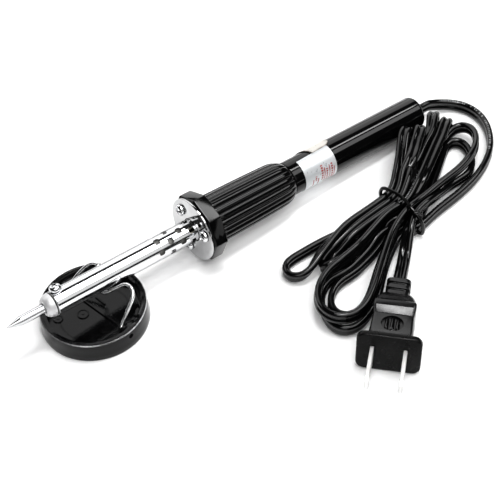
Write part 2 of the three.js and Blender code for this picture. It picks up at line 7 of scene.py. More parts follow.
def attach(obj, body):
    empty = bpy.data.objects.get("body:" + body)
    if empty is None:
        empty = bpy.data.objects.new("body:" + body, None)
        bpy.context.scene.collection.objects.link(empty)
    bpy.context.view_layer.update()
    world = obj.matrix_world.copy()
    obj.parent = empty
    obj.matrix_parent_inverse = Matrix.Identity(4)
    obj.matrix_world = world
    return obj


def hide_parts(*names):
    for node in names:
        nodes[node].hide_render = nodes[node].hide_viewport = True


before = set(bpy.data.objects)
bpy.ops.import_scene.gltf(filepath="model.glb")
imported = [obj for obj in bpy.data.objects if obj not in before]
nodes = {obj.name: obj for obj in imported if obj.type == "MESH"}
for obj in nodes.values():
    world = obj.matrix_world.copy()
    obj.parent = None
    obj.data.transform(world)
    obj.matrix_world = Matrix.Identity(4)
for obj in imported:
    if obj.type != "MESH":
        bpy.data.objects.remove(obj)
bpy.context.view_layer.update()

MM = 0.001
scene = bpy.context.scene

# ------------------------------------------------------------------ camera
CAM_C = Vector((-0.133830, -0.295042, 0.386846))
right = Vector((0.78625, -0.61677, -0.03749)).normalized()
view = Vector((0.39147, 0.54416, -0.74205)).normalized()
upv = right.cross(view) * -1
upv = view.cross(right) * -1 if view.cross(right).z < 0 else view.cross(right)
upv.normalize()
right = upv.cross(-view) * 1.0
right.normalize()
cam_data = bpy.data.cameras.new("camera")
cam = bpy.data.objects.new("camera", cam_data)
scene.collection.objects.link(cam)
rot = Matrix((right, upv, -view)).transposed()
cam.matrix_world = Matrix.Translation(CAM_C) @ rot.to_4x4()
cam_data.sensor_fit = "HORIZONTAL"
cam_data.sensor_width = 36.0
cam_data.lens = 1240.02 / 500.0 * 36.0
cam_data.clip_start = 0.01
cam_data.clip_end = 20.0
scene.camera = cam

# ------------------------------------------------------------------ small tools
def shade(obj, angle=35.0):
    me = obj.data
    bm = bmesh.new(); bm.from_mesh(me)
    bmesh.ops.recalc_face_normals(bm, faces=bm.faces)
    lim = math.radians(angle)
    for f in bm.faces: f.smooth = True
    for e in bm.edges:
        if len(e.link_faces) == 2:
            e.smooth = e.calc_face_angle(0.0) < lim
        else:
            e.smooth = True
    bm.to_mesh(me); bm.free()
    return obj

def make(name, verts, faces, mat, angle=35.0, scale=MM, matrix=None):
    me = bpy.data.meshes.new(name)
    vs = [Vector(v) for v in verts]
    if matrix is not None:
        vs = [matrix @ v for v in vs]
    me.from_pydata([v * scale for v in vs], [], faces)
    me.validate()
    ob = bpy.data.objects.new(name, me)
    scene.collection.objects.link(ob)
    if mat is not None:
        me.materials.append(mat)
    shade(ob, angle)
    return ob

def add(ob, body, *replaced, slot=None):
    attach(ob, body)
    if replaced:
        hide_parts(*replaced)
    return ob

def lathe(profile, n=96, phase=0.0):
    """closed or axis-to-axis profile [(x, r)] round X -> verts, faces"""
    pts = list(profile)
    closed = pts[0] == pts[-1]
    if closed: pts = pts[:-1]
    verts, rings = [], []
    for x, r in pts:
        if r < 1e-6:
            rings.append([len(verts)]); verts.append((x, 0, 0))
        else:
            k = len(verts); rings.append(list(range(k, k + n)))
            for i in range(n):
                a = phase + 2 * math.pi * i / n
                verts.append((x, r * math.cos(a), r * math.sin(a)))
    faces = []
    m = len(rings)
    for s in range(m if closed else m - 1):
        A, B = rings[s], rings[(s + 1) % m]
        for i in range(n):
            j = (i + 1) % n
            if len(A) == 1 and len(B) == 1: continue
            if len(A) == 1: faces.append((A[0], B[i], B[j]))
            elif len(B) == 1: faces.append((A[i], A[j], B[0]))
            else: faces.append((A[i], A[j], B[j], B[i]))
    return verts, faces

def arc(cx, cr, rad, a0, a1, k=5):
    """points of a fillet in (x, r), degrees"""
    return [(cx + rad * math.cos(math.radians(a0 + (a1 - a0) * i / k)), cr + rad * math.sin(math.radians(a0 + (a1 - a0) * i / k))) for i in range(k + 1)]

def boolean(target, cutters, op="DIFFERENCE"):
    """exact cut, applied, cutters removed"""
    for c in cutters:
        m = target.modifiers.new("cut", "BOOLEAN")
        m.operation = op; m.object = c; m.solver = "EXACT"
    dg = bpy.context.evaluated_depsgraph_get(); dg.update()
    me = bpy.data.meshes.new_from_object(target.evaluated_get(dg))
    old = target.data
    mats = [x for x in old.materials]
    target.modifiers.clear()
    target.data = me
    me.materials.clear()
    for x in mats: me.materials.append(x)
    for c in cutters:
        bpy.data.objects.remove(c, do_unlink=True)
    return target

def bevel(ob, width, segments=3, angle=30.0):
    m = ob.modifiers.new("bevel", "BEVEL")
    m.width = width * MM; m.segments = segments; m.limit_method = "ANGLE"; m.angle_limit = math.radians(angle)
    m.harden_normals = False
    dg = bpy.context.evaluated_depsgraph_get(); dg.update()
    me = bpy.data.meshes.new_from_object(ob.evaluated_get(dg))
    mats = [x for x in ob.data.materials]
    ob.modifiers.clear(); ob.data = me
    me.materials.clear()
    for x in mats: me.materials.append(x)
    return ob

def boxmesh(x0, x1, y0, y1, z0, z1):
    v = [(x, y, z) for x in (x0, x1) for y in (y0, y1) for z in (z0, z1)]
    f = [(0, 1, 3, 2), (4, 6, 7, 5), (0, 4, 5, 1), (2, 3, 7, 6), (0, 2, 6, 4), (1, 5, 7, 3)]
    return v, f

def rounded_rect(w, h, r, k=5):
    out = []
    for cx, cy, a0 in ((w / 2 - r, h / 2 - r, 0), (-w / 2 + r, h / 2 - r, 90), (-w / 2 + r, -h / 2 + r, 180), (w / 2 - r, -h / 2 + r, 270)):
        for i in range(k + 1):
            a = math.radians(a0 + 90 * i / k)
            out.append((cx + r * math.cos(a), cy + r * math.sin(a)))
    return out

def loft(rings, cap=True, closed=False):
    """rings: lists of equal length of 3-D points -> verts, faces"""
    verts = [p for r in rings for p in r]
    n = len(rings[0]); faces = []
    m = len(rings)
    for s in range(m if closed else m - 1):
        t = (s + 1) % m
        for i in range(n):
            j = (i + 1) % n
            faces.append((s * n + i, s * n + j, t * n + j, t * n + i))
    if cap and not closed:
        faces.append(tuple(range(n - 1, -1, -1)))
        faces.append(tuple((m - 1) * n + i for i in range(n)))
    return verts, faces

def spline(points, per):
    """Catmull-Rom through the points, per samples a span"""
    P = np.array(points, float)
    P = np.vstack([2 * P[0] - P[1], P, 2 * P[-1] - P[-2]])
    out = []
    for i in range(1, len(P) - 2):
        for k in range(per):
            t = k / per
            a, b, c, d = P[i - 1], P[i], P[i + 1], P[i + 2]
            out.append(0.5 * ((2 * b) + (c - a) * t + (2 * a - 5 * b + 4 * c - d) * t * t + (-a + 3 * b - 3 * c + d) * t ** 3))
    out.append(P[-2])
    return np.array(out)

def tube(points, radius, n=14, closed=False):
    P = np.array(points, float)
    T = np.gradient(P, axis=0)
    if closed:
        T = np.roll(P, -1, 0) - np.roll(P, 1, 0)
    T /= np.linalg.norm(T, axis=1)[:, None]
    u = np.cross(T[0], [0.3, 0.2, 0.9]); u /= np.linalg.norm(u)
    rings = []
    rr = radius if hasattr(radius, "__len__") else [radius] * len(P)
    U = []
    for p, t in zip(P, T):
        u = u - t * (u @ t); u /= np.linalg.norm(u); U.append(u.copy())
    if closed:
        # untwist the frame so that the ring closes
        a = U[-1]; b = U[0] - T[-1] * (U[0] @ T[-1]); b /= np.linalg.norm(b)
        ang = math.atan2(np.cross(a, b) @ T[-1], a @ b)
        for i in range(len(U)):
            th = ang * i / (len(U) - 1); v = np.cross(T[i], U[i])
            U[i] = U[i] * math.cos(th) + v * math.sin(th)
    for p, t, u, r in zip(P, T, U, rr):
        v = np.cross(t, u)
        rings.append([tuple(p + r * (math.cos(2 * math.pi * k / n) * u + math.sin(2 * math.pi * k / n) * v)) for k in range(n)])
    return loft(rings, closed=closed)

# ------------------------------------------------------------------ frames of the iron, stand and plug
TAU = math.asin(0.06209)
IRON = Matrix.Translation((-36.1, 1.5, 20.79)) @ Matrix.Rotation(TAU, 4, "Y")
STAND = Matrix.Rotation(math.radians(9.3), 4, "Z")
PLUG = Matrix.Translation((72.5, -94.1, 9.54)) @ Matrix.Rotation(math.radians(-139.0), 4, "Z") @ Matrix.Rotation(-math.radians(6.4), 4, "Y")

# ------------------------------------------------------------------ materials
def new_mat(name):
    m = bpy.data.materials.new(name); m.use_nodes = True
    nt = m.node_tree
    b = nt.nodes.get("Principled BSDF")
    return m, nt, b

def obj_coords(nt, scale=1.0):
    t = nt.nodes.new("ShaderNodeTexCoord")
    mp = nt.nodes.new("ShaderNodeMapping")
    s = scale if hasattr(scale, "__len__") else (scale,) * 3
    mp.inputs["Scale"].default_value = s
    nt.links.new(t.outputs["Object"], mp.inputs["Vector"])
    return mp.outputs["Vector"]

def noise(nt, vec, scale, detail=4.0, rough=0.55):
    n = nt.nodes.new("ShaderNodeTexNoise")
    n.inputs["Scale"].default_value = scale
    n.inputs["Detail"].default_value = detail
    n.inputs["Roughness"].default_value = rough
    nt.links.new(vec, n.inputs["Vector"])
    return n.outputs["Fac"]

def ramp(nt, fac, lo, hi, a, b):
    r = nt.nodes.new("ShaderNodeMapRange")
    r.inputs["From Min"].default_value = lo; r.inputs["From Max"].default_value = hi
    r.inputs["To Min"].default_value = a; r.inputs["To Max"].default_value = b
    nt.links.new(fac, r.inputs["Value"])
    return r.outputs["Result"]

def mixc(nt, fac, c1, c2):
    m = nt.nodes.new("ShaderNodeMix"); m.data_type = "RGBA"
    if fac is not None: nt.links.new(fac, m.inputs["Factor"])
    for sock, c in ((m.inputs[6], c1), (m.inputs[7], c2)):
        if isinstance(c, tuple): sock.default_value = (*c, 1.0) if len(c) == 3 else c
        else: nt.links.new(c, sock)
    return m.outputs[2]

def bump(nt, height, strength, distance=0.0001, normal=None):
    b = nt.nodes.new("ShaderNodeBump")
    b.inputs["Strength"].default_value = strength
    b.inputs["Distance"].default_value = distance
    nt.links.new(height, b.inputs["Height"])
    if normal is not None: nt.links.new(normal, b.inputs["Normal"])
    return b.outputs["Normal"]

def plastic(name, c1, c2, rough, rvar=0.06, grain=0.05, coat=0.0, spec=0.5, grain_scale=2600.0):
    m, nt, b = new_mat(name)
    v = obj_coords(nt)
    n1 = noise(nt, v, 60.0, 3.0)
    n2 = noise(nt, v, grain_scale, 3.0)
    nt.links.new(mixc(nt, ramp(nt, n1, 0.3, 0.7, 0.0, 1.0), c1, c2), b.inputs["Base Color"])
    nt.links.new(ramp(nt, noise(nt, v, 240.0, 4.0), 0.3, 0.7, rough - rvar, rough + rvar), b.inputs["Roughness"])
    nt.links.new(bump(nt, n2, grain, 0.00005), b.inputs["Normal"])
    b.inputs["Specular IOR Level"].default_value = spec
    if coat:
        b.inputs["Coat Weight"].default_value = coat
        b.inputs["Coat Roughness"].default_value = 0.06
    return m

def steel(name, color, rough, rvar=0.04, brush=None, brush_str=0.05, tint=None, edge=None, metal=1.0):
    m, nt, b = new_mat(name)
    if edge is not None: b.inputs["Specular Tint"].default_value = (edge, edge, edge, 1.0)
    v = obj_coords(nt)
    b.inputs["Metallic"].default_value = metal
    n1 = noise(nt, v, 90.0, 4.0)
    c2 = tint or tuple(x * 0.86 for x in color)
    col = mixc(nt, ramp(nt, n1, 0.35, 0.75, 0.0, 1.0), color, c2)
    nt.links.new(col, b.inputs["Base Color"])
    nt.links.new(ramp(nt, noise(nt, v, 400.0, 5.0), 0.3, 0.75, max(0.02, rough - rvar), rough + rvar), b.inputs["Roughness"])
    if brush:
        vb = obj_coords(nt, brush)
        nb = noise(nt, vb, 1.0, 6.0, 0.65)
        nt.links.new(bump(nt, nb, brush_str, 0.00004), b.inputs["Normal"])
    else:
        nt.links.new(bump(nt, noise(nt, v, 900.0, 4.0), 0.02, 0.00003), b.inputs["Normal"])
    return m

def base_material():
    """moulded dish: polished black with a painted highlight, a paler ring along the rim's outer rounded edge"""
    m = plastic("base_black", (0.0022, 0.0022, 0.0024), (0.0045, 0.0045, 0.0048), 0.09, 0.03, 0.05, spec=0.32)
    nt = m.node_tree; b = nt.nodes.get("Principled BSDF")
    g = nt.nodes.new("ShaderNodeTexCoord")
    sp = nt.nodes.new("ShaderNodeSeparateXYZ"); nt.links.new(g.outputs["Object"], sp.inputs[0])
    def mth(op, a, bb=None):
        k = nt.nodes.new("ShaderNodeMath"); k.operation = op
        for i, x in enumerate((a, bb)):
            if x is None: continue
            if isinstance(x, (int, float)): k.inputs[i].default_value = x
            else: nt.links.new(x, k.inputs[i])
        return k.outputs[0]
    x, y, z = sp.outputs
    r = mth("SQRT", mth("ADD", mth("MULTIPLY", x, x), mth("MULTIPLY", y, y)))
    # painted highlight: a paler ring on the rim's outer fillet stands in for the light's reflection line, broken into
    # patches by noise
    ring = mth("LESS_THAN", mth("ABSOLUTE", mth("SUBTRACT", r, 0.02142)), 0.00016)
    top = mth("GREATER_THAN", z, 0.0080)
    rim_highlight_breakup = ramp(nt, noise(nt, g.outputs["Object"], 900.0, 3.0), 0.30, 0.55, 0.25, 1.0)
    side = ramp(nt, noise(nt, g.outputs["Object"], 45.0, 2.0), 0.40, 0.62, 0.2, 1.0)
    mask = mth("MULTIPLY", mth("MULTIPLY", ring, top), mth("MULTIPLY", rim_highlight_breakup, side))
    old = b.inputs["Base Color"].links[0].from_socket
    nt.links.new(mixc(nt, mask, old, (0.62, 0.62, 0.63)), b.inputs["Base Color"])
    return m
M_BLACK = plastic("handle_black", (0.0016, 0.0016, 0.0018), (0.0028, 0.0028, 0.003), 0.08, 0.02, 0.010, spec=0.47)
M_GRIP = plastic("grip_black", (0.0018, 0.0018, 0.002), (0.003, 0.003, 0.0033), 0.075, 0.02, 0.02, spec=0.5)
M_BASE = base_material()
M_PLUG = plastic("plug_black", (0.0035, 0.0035, 0.0038), (0.006, 0.006, 0.0063), 0.22, 0.05, 0.16, spec=0.5, grain_scale=1500.0)
M_TIE = plastic("tie_black", (0.002, 0.002, 0.002), (0.0035, 0.0035, 0.0035), 0.14, 0.04, 0.03)
M_GUARD = plastic("guard_black", (0.0018, 0.0018, 0.002), (0.0032, 0.0032, 0.0035), 0.08, 0.03, 0.05, spec=0.28, grain_scale=1500.0)
M_FLANGE = plastic("plug_face_black", (0.0014, 0.0014, 0.0015), (0.004, 0.004, 0.0042), 0.30, 0.08, 0.45, spec=0.16, grain_scale=1300.0)
M_CHROME = steel("bright_plating", (0.88, 0.885, 0.895), 0.12, 0.04, edge=0.35)
M_WIRE = steel("wire_plating", (0.95, 0.955, 0.96), 0.26, 0.05, edge=0.5)
M_BARREL = steel("barrel_plating", (0.87, 0.875, 0.885), 0.10, 0.03, brush=(60.0, 900.0, 900.0), brush_str=0.025, edge=0.3)
M_NOZZLE = steel("nozzle_satin", (0.74, 0.74, 0.745), 0.50, 0.06, brush=(900.0, 200.0, 200.0), brush_str=0.10, edge=0.4, metal=0.65)
# near-black groove filler: painted shade for the dark line in the nozzle's groove
M_GROOVE_SHADE = plastic("groove_painted_shade", (0.004, 0.004, 0.004), (0.02, 0.018, 0.016), 0.6, 0.1, 0.3, spec=0.1)
M_MIRROR = steel("mirror_plate", (0.43, 0.43, 0.435), 0.07, 0.02, brush=(700.0, 700.0, 700.0), brush_str=0.015, tint=(0.60, 0.60, 0.605))
M_TIP = steel("tip_plating", (0.72, 0.725, 0.735), 0.15, 0.05, brush=(1400.0, 120.0, 120.0), brush_str=0.06, edge=0.2)
M_BLADE = steel("blade_nickel", (0.90, 0.895, 0.885), 0.33, 0.05, brush=(300.0, 300.0, 1200.0), brush_str=0.02, metal=0.5, edge=0.4)
M_CERAMIC = plastic("ceramic_former", (0.72, 0.68, 0.60), (0.62, 0.58, 0.50), 0.75, 0.08, 0.3)
M_MICA = plastic("mica_wrap", (0.10, 0.098, 0.094), (0.26, 0.255, 0.245), 0.22, 0.08, 0.2)
M_SLEEVE = plastic("glass_sleeving", (0.78, 0.75, 0.66), (0.68, 0.64, 0.55), 0.85, 0.05, 0.5)
M_WIND = steel("winding_wire", (0.42, 0.38, 0.34), 0.35, 0.08)
M_CRIMP = steel("crimp_tin", (0.70, 0.70, 0.68), 0.30, 0.06)
M_CLAMP = plastic("clamp_grey", (0.20, 0.20, 0.19), (0.25, 0.25, 0.24), 0.5, 0.06, 0.2)

FLECK0, FLECK1 = 955.0, 1008.0
def cord_material():
    """black flexible vinyl; faint unreadable pale flecks of a run-on print along one lobe"""
    m, nt, b = new_mat("cord_vinyl")
    v = obj_coords(nt)
    at = nt.nodes.new("ShaderNodeAttribute"); at.attribute_name = "along"; at.attribute_type = "GEOMETRY"
    ac = nt.nodes.new("ShaderNodeAttribute"); ac.attribute_name = "across"; ac.attribute_type = "GEOMETRY"
    n1 = noise(nt, v, 120.0, 3.0)
    base = mixc(nt, ramp(nt, n1, 0.3, 0.7, 0.0, 1.0), (0.0018, 0.0018, 0.002), (0.0035, 0.0035, 0.0038))
    def math_(op, a, bb=None, c=None):
        k = nt.nodes.new("ShaderNodeMath"); k.operation = op
        for i, x in enumerate((a, bb, c)):
            if x is None: continue
            if isinstance(x, (int, float)): k.inputs[i].default_value = x
            else: nt.links.new(x, k.inputs[i])
        return k.outputs[0]
    s = at.outputs["Fac"]; w = ac.outputs["Fac"]
    # flecks 0.9 mm apart in groups
    cell = math_("FRACT", math_("MULTIPLY", s, 1.0 / 1.15))
    fleck = math_("LESS_THAN", math_("ABSOLUTE", math_("SUBTRACT", cell, 0.5)), 0.22)
    wn = nt.nodes.new("ShaderNodeTexNoise"); wn.noise_dimensions = "1D"; wn.inputs["Scale"].default_value = 0.9; wn.inputs["Detail"].default_value = 2.0
    nt.links.new(s, wn.inputs["W"])
    some = math_("GREATER_THAN", wn.outputs["Fac"], 0.47)
    group = math_("MAXIMUM", math_("MULTIPLY", math_("GREATER_THAN", s, 14.0), math_("LESS_THAN", s, 62.0)), math_("MULTIPLY", math_("GREATER_THAN", s, FLECK0), math_("LESS_THAN", s, FLECK1)))
    band = math_("LESS_THAN", math_("ABSOLUTE", math_("SUBTRACT", w, 0.23)), 0.030)
    f = math_("MULTIPLY", math_("MULTIPLY", fleck, some), math_("MULTIPLY", group, band))
    f = math_("MULTIPLY", f, 0.5)
    nt.links.new(mixc(nt, f, base, (0.55, 0.56, 0.57)), b.inputs["Base Color"])
    nt.links.new(ramp(nt, noise(nt, v, 300.0, 4.0), 0.3, 0.7, 0.06, 0.11), b.inputs["Roughness"])
    b.inputs["Specular IOR Level"].default_value = 0.5
    nt.links.new(bump(nt, noise(nt, v, 1800.0, 3.0), 0.03, 0.00005), b.inputs["Normal"])
    return m
M_CORD = cord_material()

# ------------------------------------------------------------------ cord: one length of flat twin flex
# each row: centre x, y, z in mm and the direction of the flat section's width
CORD = [
 (176.05, 1.50, 7.65, 0.137, -0.002, 0.991),
 (179.97, 1.53, 6.89, 0.093, 0.003, 0.996),
 (183.89, 1.54, 6.54, 0.282, -0.022, 0.959),
 (187.64, 1.15, 5.19, 0.326, -0.029, 0.945),
 (191.29, -0.00, 4.08, 0.234, -0.011, 0.972),
 (194.63, -2.05, 3.44, 0.150, 0.008, 0.989),
 (197.33, -4.95, 3.14, 0.103, 0.009, 0.995),
 (199.12, -8.49, 3.01, 0.073, 0.002, 0.997),
 (199.90, -12.39, 2.95, 0.051, -0.003, 0.999),
 (199.72, -16.36, 2.94, 0.034, -0.006, 0.999),
 (198.70, -20.22, 2.94, 0.022, -0.007, 1.000),
 (197.05, -23.85, 2.95, 0.014, -0.007, 1.000),
 (194.93, -27.24, 2.95, 0.008, -0.005, 1.000),
 (192.45, -30.38, 2.95, 0.005, -0.004, 1.000),
 (189.66, -33.24, 2.95, 0.003, -0.003, 1.000),
 (186.57, -35.77, 2.95, 0.002, -0.002, 1.000),
 (183.24, -37.98, 2.95, 0.001, -0.001, 1.000),
 (179.73, -39.88, 2.95, 0.000, -0.001, 1.000),
 (176.08, -41.51, 2.95, 0.000, -0.001, 1.000),
 (172.32, -42.88, 2.95, 0.000, -0.001, 1.000),
 (168.49, -44.00, 2.95, 0.000, -0.001, 1.000),
 (164.60, -44.89, 2.95, 0.000, -0.001, 1.000),
 (160.67, -45.59, 2.95, 0.000, -0.001, 1.000),
 (156.72, -46.13, 2.95, 0.000, -0.002, 1.000),
 (152.77, -46.56, 2.95, 0.000, -0.003, 1.000),
 (148.81, -46.93, 2.95, 0.001, -0.005, 1.000),
 (144.87, -47.32, 2.95, 0.002, -0.008, 1.000),
 (140.96, -47.87, 2.96, 0.003, -0.012, 1.000),
 (137.09, -48.58, 2.96, 0.002, -0.019, 1.000),
 (133.23, -49.17, 2.94, -0.006, -0.029, 1.000),
 (129.36, -49.18, 2.89, -0.019, -0.042, 0.999),
 (125.54, -48.70, 2.83, -0.017, -0.064, 0.998),
 (121.74, -48.57, 2.82, 0.015, -0.112, 0.994),
 (118.07, -49.52, 2.86, 0.086, -0.163, 0.983),
 (114.66, -51.27, 2.93, 0.116, -0.180, 0.977),
 (111.31, -53.22, 2.96, 0.099, -0.161, 0.982),
 (107.98, -55.27, 2.96, 0.082, -0.131, 0.988),
 (104.72, -57.45, 2.95, 0.075, -0.109, 0.991),
 (101.52, -59.77, 2.95, 0.075, -0.101, 0.992),
 (98.38, -62.18, 2.95, 0.080, -0.104, 0.991),
 (95.21, -64.57, 2.95, 0.082, -0.113, 0.990),
 (91.91, -66.80, 2.95, 0.076, -0.123, 0.989),
 (88.44, -68.75, 2.95, 0.065, -0.129, 0.990),
 (84.82, -70.43, 2.95, 0.053, -0.127, 0.990),
 (81.08, -71.81, 2.95, 0.036, -0.119, 0.992),
 (77.20, -72.64, 2.95, 0.008, -0.104, 0.995),
 (73.31, -72.22, 2.95, -0.028, -0.079, 0.996),
 (70.19, -69.96, 2.95, -0.060, -0.045, 0.997),
 (68.88, -66.31, 2.95, -0.079, -0.008, 0.997),
 (69.27, -62.39, 2.95, -0.085, 0.021, 0.996),
 (70.61, -58.64, 2.95, -0.081, 0.036, 0.996),
 (72.55, -55.15, 2.95, -0.066, 0.044, 0.997),
 (75.08, -52.07, 2.95, -0.041, 0.043, 0.998),
 (78.22, -49.65, 2.94, -0.011, 0.031, 0.999),
 (81.92, -48.27, 2.91, 0.011, 0.011, 1.000),
 (85.89, -48.09, 2.85, 0.010, -0.013, 1.000),
 (89.89, -48.50, 2.84, -0.002, -0.047, 0.999),
 (93.92, -48.35, 2.84, 0.006, -0.099, 0.995),
 (97.88, -47.51, 2.93, 0.000, -0.151, 0.988),
 (101.82, -46.63, 3.10, -0.008, -0.197, 0.980),
 (105.73, -45.67, 3.37, -0.035, -0.226, 0.973),
 (109.51, -44.42, 3.98, -0.118, -0.281, 0.952),
 (113.34, -43.33, 4.90, -0.098, -0.324, 0.941),
 (117.56, -43.24, 4.86, 0.178, -0.217, 0.960),
 (121.70, -43.12, 3.55, 0.296, -0.066, 0.953),
 (125.77, -41.67, 2.90, 0.061, -0.051, 0.997),
 (129.71, -40.09, 2.88, 0.021, -0.067, 0.998),
 (133.53, -39.27, 3.01, -0.052, -0.149, 0.988),
 (137.19, -38.16, 3.46, -0.056, -0.191, 0.980),
 (140.59, -36.34, 3.94, 0.028, -0.242, 0.970),
 (143.73, -34.04, 4.32, 0.178, -0.360, 0.916),
 (146.81, -31.64, 4.64, 0.315, -0.522, 0.793),
 (149.99, -29.35, 4.91, 0.422, -0.652, 0.630),
 (153.22, -27.10, 4.96, 0.503, -0.713, 0.489),
 (156.47, -24.87, 4.83, 0.527, -0.749, 0.401),
 (159.73, -22.65, 4.78, 0.524, -0.778, 0.347),
 (162.99, -20.45, 4.83, 0.528, -0.789, 0.314),
 (166.23, -18.23, 4.86, 0.554, -0.779, 0.294),
 (169.35, -15.90, 4.73, 0.618, -0.737, 0.273),
 (172.24, -13.35, 4.37, 0.687, -0.676, 0.265),
 (174.97, -10.73, 3.74, 0.683, -0.686, 0.250),
 (177.81, -8.36, 3.50, 0.579, -0.802, 0.149),
 (180.13, -6.66, 5.43, 0.563, -0.826, 0.027),
 (180.04, -6.59, 8.82, 0.628, -0.775, 0.071),
 (177.69, -8.27, 10.84, 0.650, -0.729, 0.214),
 (174.85, -10.76, 10.92, 0.597, -0.700, 0.391),
 (171.96, -13.29, 10.45, 0.464, -0.715, 0.522),
 (168.62, -15.26, 10.18, 0.355, -0.788, 0.502),
 (165.03, -16.80, 10.11, 0.365, -0.852, 0.375),
 (161.49, -18.45, 10.06, 0.434, -0.869, 0.239),
 (158.04, -20.27, 9.97, 0.463, -0.881, 0.102),
 (154.60, -22.04, 9.83, 0.450, -0.891, -0.053),
 (151.17, -23.85, 9.73, 0.510, -0.833, -0.214),
 (148.03, -26.34, 10.32, 0.538, -0.710, -0.455),
 (145.03, -29.29, 11.19, 0.402, -0.576, -0.712),
 (141.65, -31.78, 11.08, 0.385, -0.372, -0.845),
 (138.21, -33.80, 10.19, 0.388, -0.247, -0.888),
 (134.72, -35.62, 9.28, 0.289, -0.186, -0.939),
 (130.95, -36.83, 8.63, 0.146, -0.141, -0.979),
 (127.00, -37.29, 8.35, 0.035, -0.092, -0.995),
 (123.01, -37.44, 8.34, -0.007, -0.046, -0.999),
 (119.04, -37.64, 8.39, -0.010, 0.000, -1.000),
 (115.08, -37.82, 8.40, 0.006, 0.052, -0.999),
 (111.13, -37.92, 8.29, 0.058, 0.111, -0.992),
 (107.23, -37.98, 7.90, 0.137, 0.165, -0.977),
 (103.42, -38.19, 7.15, 0.227, 0.198, -0.953),
 (99.79, -38.65, 5.94, 0.353, 0.194, -0.915),
 (96.40, -39.11, 4.31, 0.422, 0.121, -0.898),
 (92.97, -39.42, 3.01, 0.213, -0.050, -0.976),
 (89.98, -41.12, 2.86, 0.075, -0.112, -0.991),
 (89.70, -44.44, 3.26, 0.114, -0.184, -0.976),
 (92.36, -46.25, 4.27, 0.299, -0.035, -0.954),
 (95.74, -44.94, 5.08, 0.064, 0.106, -0.992),
 (99.00, -42.36, 5.11, -0.231, 0.141, -0.963),
 (102.52, -40.63, 4.17, -0.357, 0.185, -0.916),
 (106.16, -39.64, 3.13, -0.227, 0.168, -0.959),
 (109.88, -38.45, 2.81, -0.068, 0.134, -0.989),
 (113.59, -37.10, 2.83, -0.027, 0.111, -0.993),
 (117.34, -35.81, 2.89, -0.019, 0.105, -0.994),
 (121.21, -35.00, 2.90, -0.017, 0.109, -0.994),
 (125.14, -34.65, 2.88, -0.021, 0.133, -0.991),
 (129.05, -34.22, 2.82, -0.051, 0.199, -0.979),
 (132.84, -33.29, 2.72, -0.136, 0.336, -0.932),
 (136.51, -31.58, 2.88, -0.198, 0.585, -0.786),
 (140.25, -29.54, 3.71, -0.354, 0.830, -0.431),
 (143.89, -27.43, 4.29, -0.553, 0.825, -0.118),
 (146.96, -24.92, 4.38, -0.671, 0.739, -0.059),
 (149.85, -22.31, 4.34, -0.640, 0.764, -0.075),
 (152.98, -19.96, 4.33, -0.554, 0.826, -0.099),
 (156.33, -17.92, 4.21, -0.500, 0.856, -0.128),
 (159.73, -15.98, 3.93, -0.516, 0.846, -0.139),
 (163.02, -13.88, 3.68, -0.571, 0.812, -0.123),
 (165.99, -11.54, 4.32, -0.625, 0.775, -0.091),
 (167.82, -9.78, 6.98, -0.645, 0.764, -0.022),
 (167.71, -10.11, 10.60, -0.638, 0.758, 0.139),
 (165.78, -12.39, 12.82, -0.625, 0.742, 0.242),
 (162.75, -14.87, 13.10, -0.577, 0.790, 0.205),
 (159.43, -17.13, 12.78, -0.568, 0.812, 0.136),
 (156.12, -19.46, 12.65, -0.580, 0.807, 0.115),
 (152.83, -21.85, 12.96, -0.558, 0.818, 0.139),
 (149.35, -24.10, 13.18, -0.496, 0.836, 0.236),
 (145.60, -25.95, 12.18, -0.516, 0.707, 0.485),
 (142.07, -27.71, 10.68, -0.540, 0.448, 0.712),
 (138.96, -29.92, 9.77, -0.427, 0.331, 0.841),
 (135.76, -31.99, 9.16, -0.301, 0.271, 0.915),
 (132.23, -33.49, 8.66, -0.164, 0.199, 0.966),
 (128.43, -34.29, 8.42, -0.041, 0.121, 0.992),
 (124.53, -34.57, 8.41, 0.007, 0.057, 0.998),
 (120.60, -34.73, 8.45, -0.001, 0.010, 1.000),
 (116.66, -34.90, 8.39, -0.031, -0.036, 0.999),
 (112.73, -34.99, 8.19, -0.072, -0.083, 0.994),
 (108.82, -35.05, 7.79, -0.124, -0.131, 0.984),
 (104.95, -35.22, 7.19, -0.158, -0.172, 0.972),
 (101.14, -35.59, 6.48, -0.168, -0.183, 0.969),
 (97.39, -36.15, 5.67, -0.215, -0.148, 0.965),
 (93.75, -36.70, 4.60, -0.315, -0.079, 0.946),
 (90.24, -37.30, 3.32, -0.306, 0.024, 0.952),
 (86.97, -38.67, 2.71, -0.150, 0.233, 0.961),
 (85.30, -41.33, 3.57, -0.052, 0.475, 0.879),
 (87.28, -43.30, 5.02, -0.098, 0.404, 0.910),
 (91.05, -43.14, 4.72, 0.237, 0.185, 0.954),
 (94.96, -43.03, 3.40, 0.254, -0.001, 0.967),
 (99.03, -43.74, 2.87, 0.025, -0.150, 0.988),
 (102.96, -43.58, 2.81, 0.042, -0.217, 0.975),
 (106.60, -42.47, 2.97, -0.009, -0.202, 0.979),
 (110.23, -41.28, 3.24, 0.013, -0.143, 0.990),
 (113.90, -39.98, 3.17, 0.093, -0.083, 0.992),
 (117.62, -38.66, 2.90, 0.080, -0.089, 0.993),
 (121.51, -37.79, 2.81, 0.017, -0.105, 0.994),
 (125.51, -37.52, 2.82, 0.006, -0.117, 0.993),
 (129.49, -37.16, 2.82, 0.017, -0.129, 0.992),
 (133.43, -36.37, 2.81, 0.044, -0.146, 0.988),
 (137.23, -35.10, 2.89, -0.020, -0.240, 0.971),
 (140.29, -32.87, 4.13, 0.001, -0.588, 0.809),
 (142.35, -29.94, 6.29, 0.534, -0.671, 0.514),
 (144.76, -26.84, 7.35, 0.726, -0.663, 0.183),
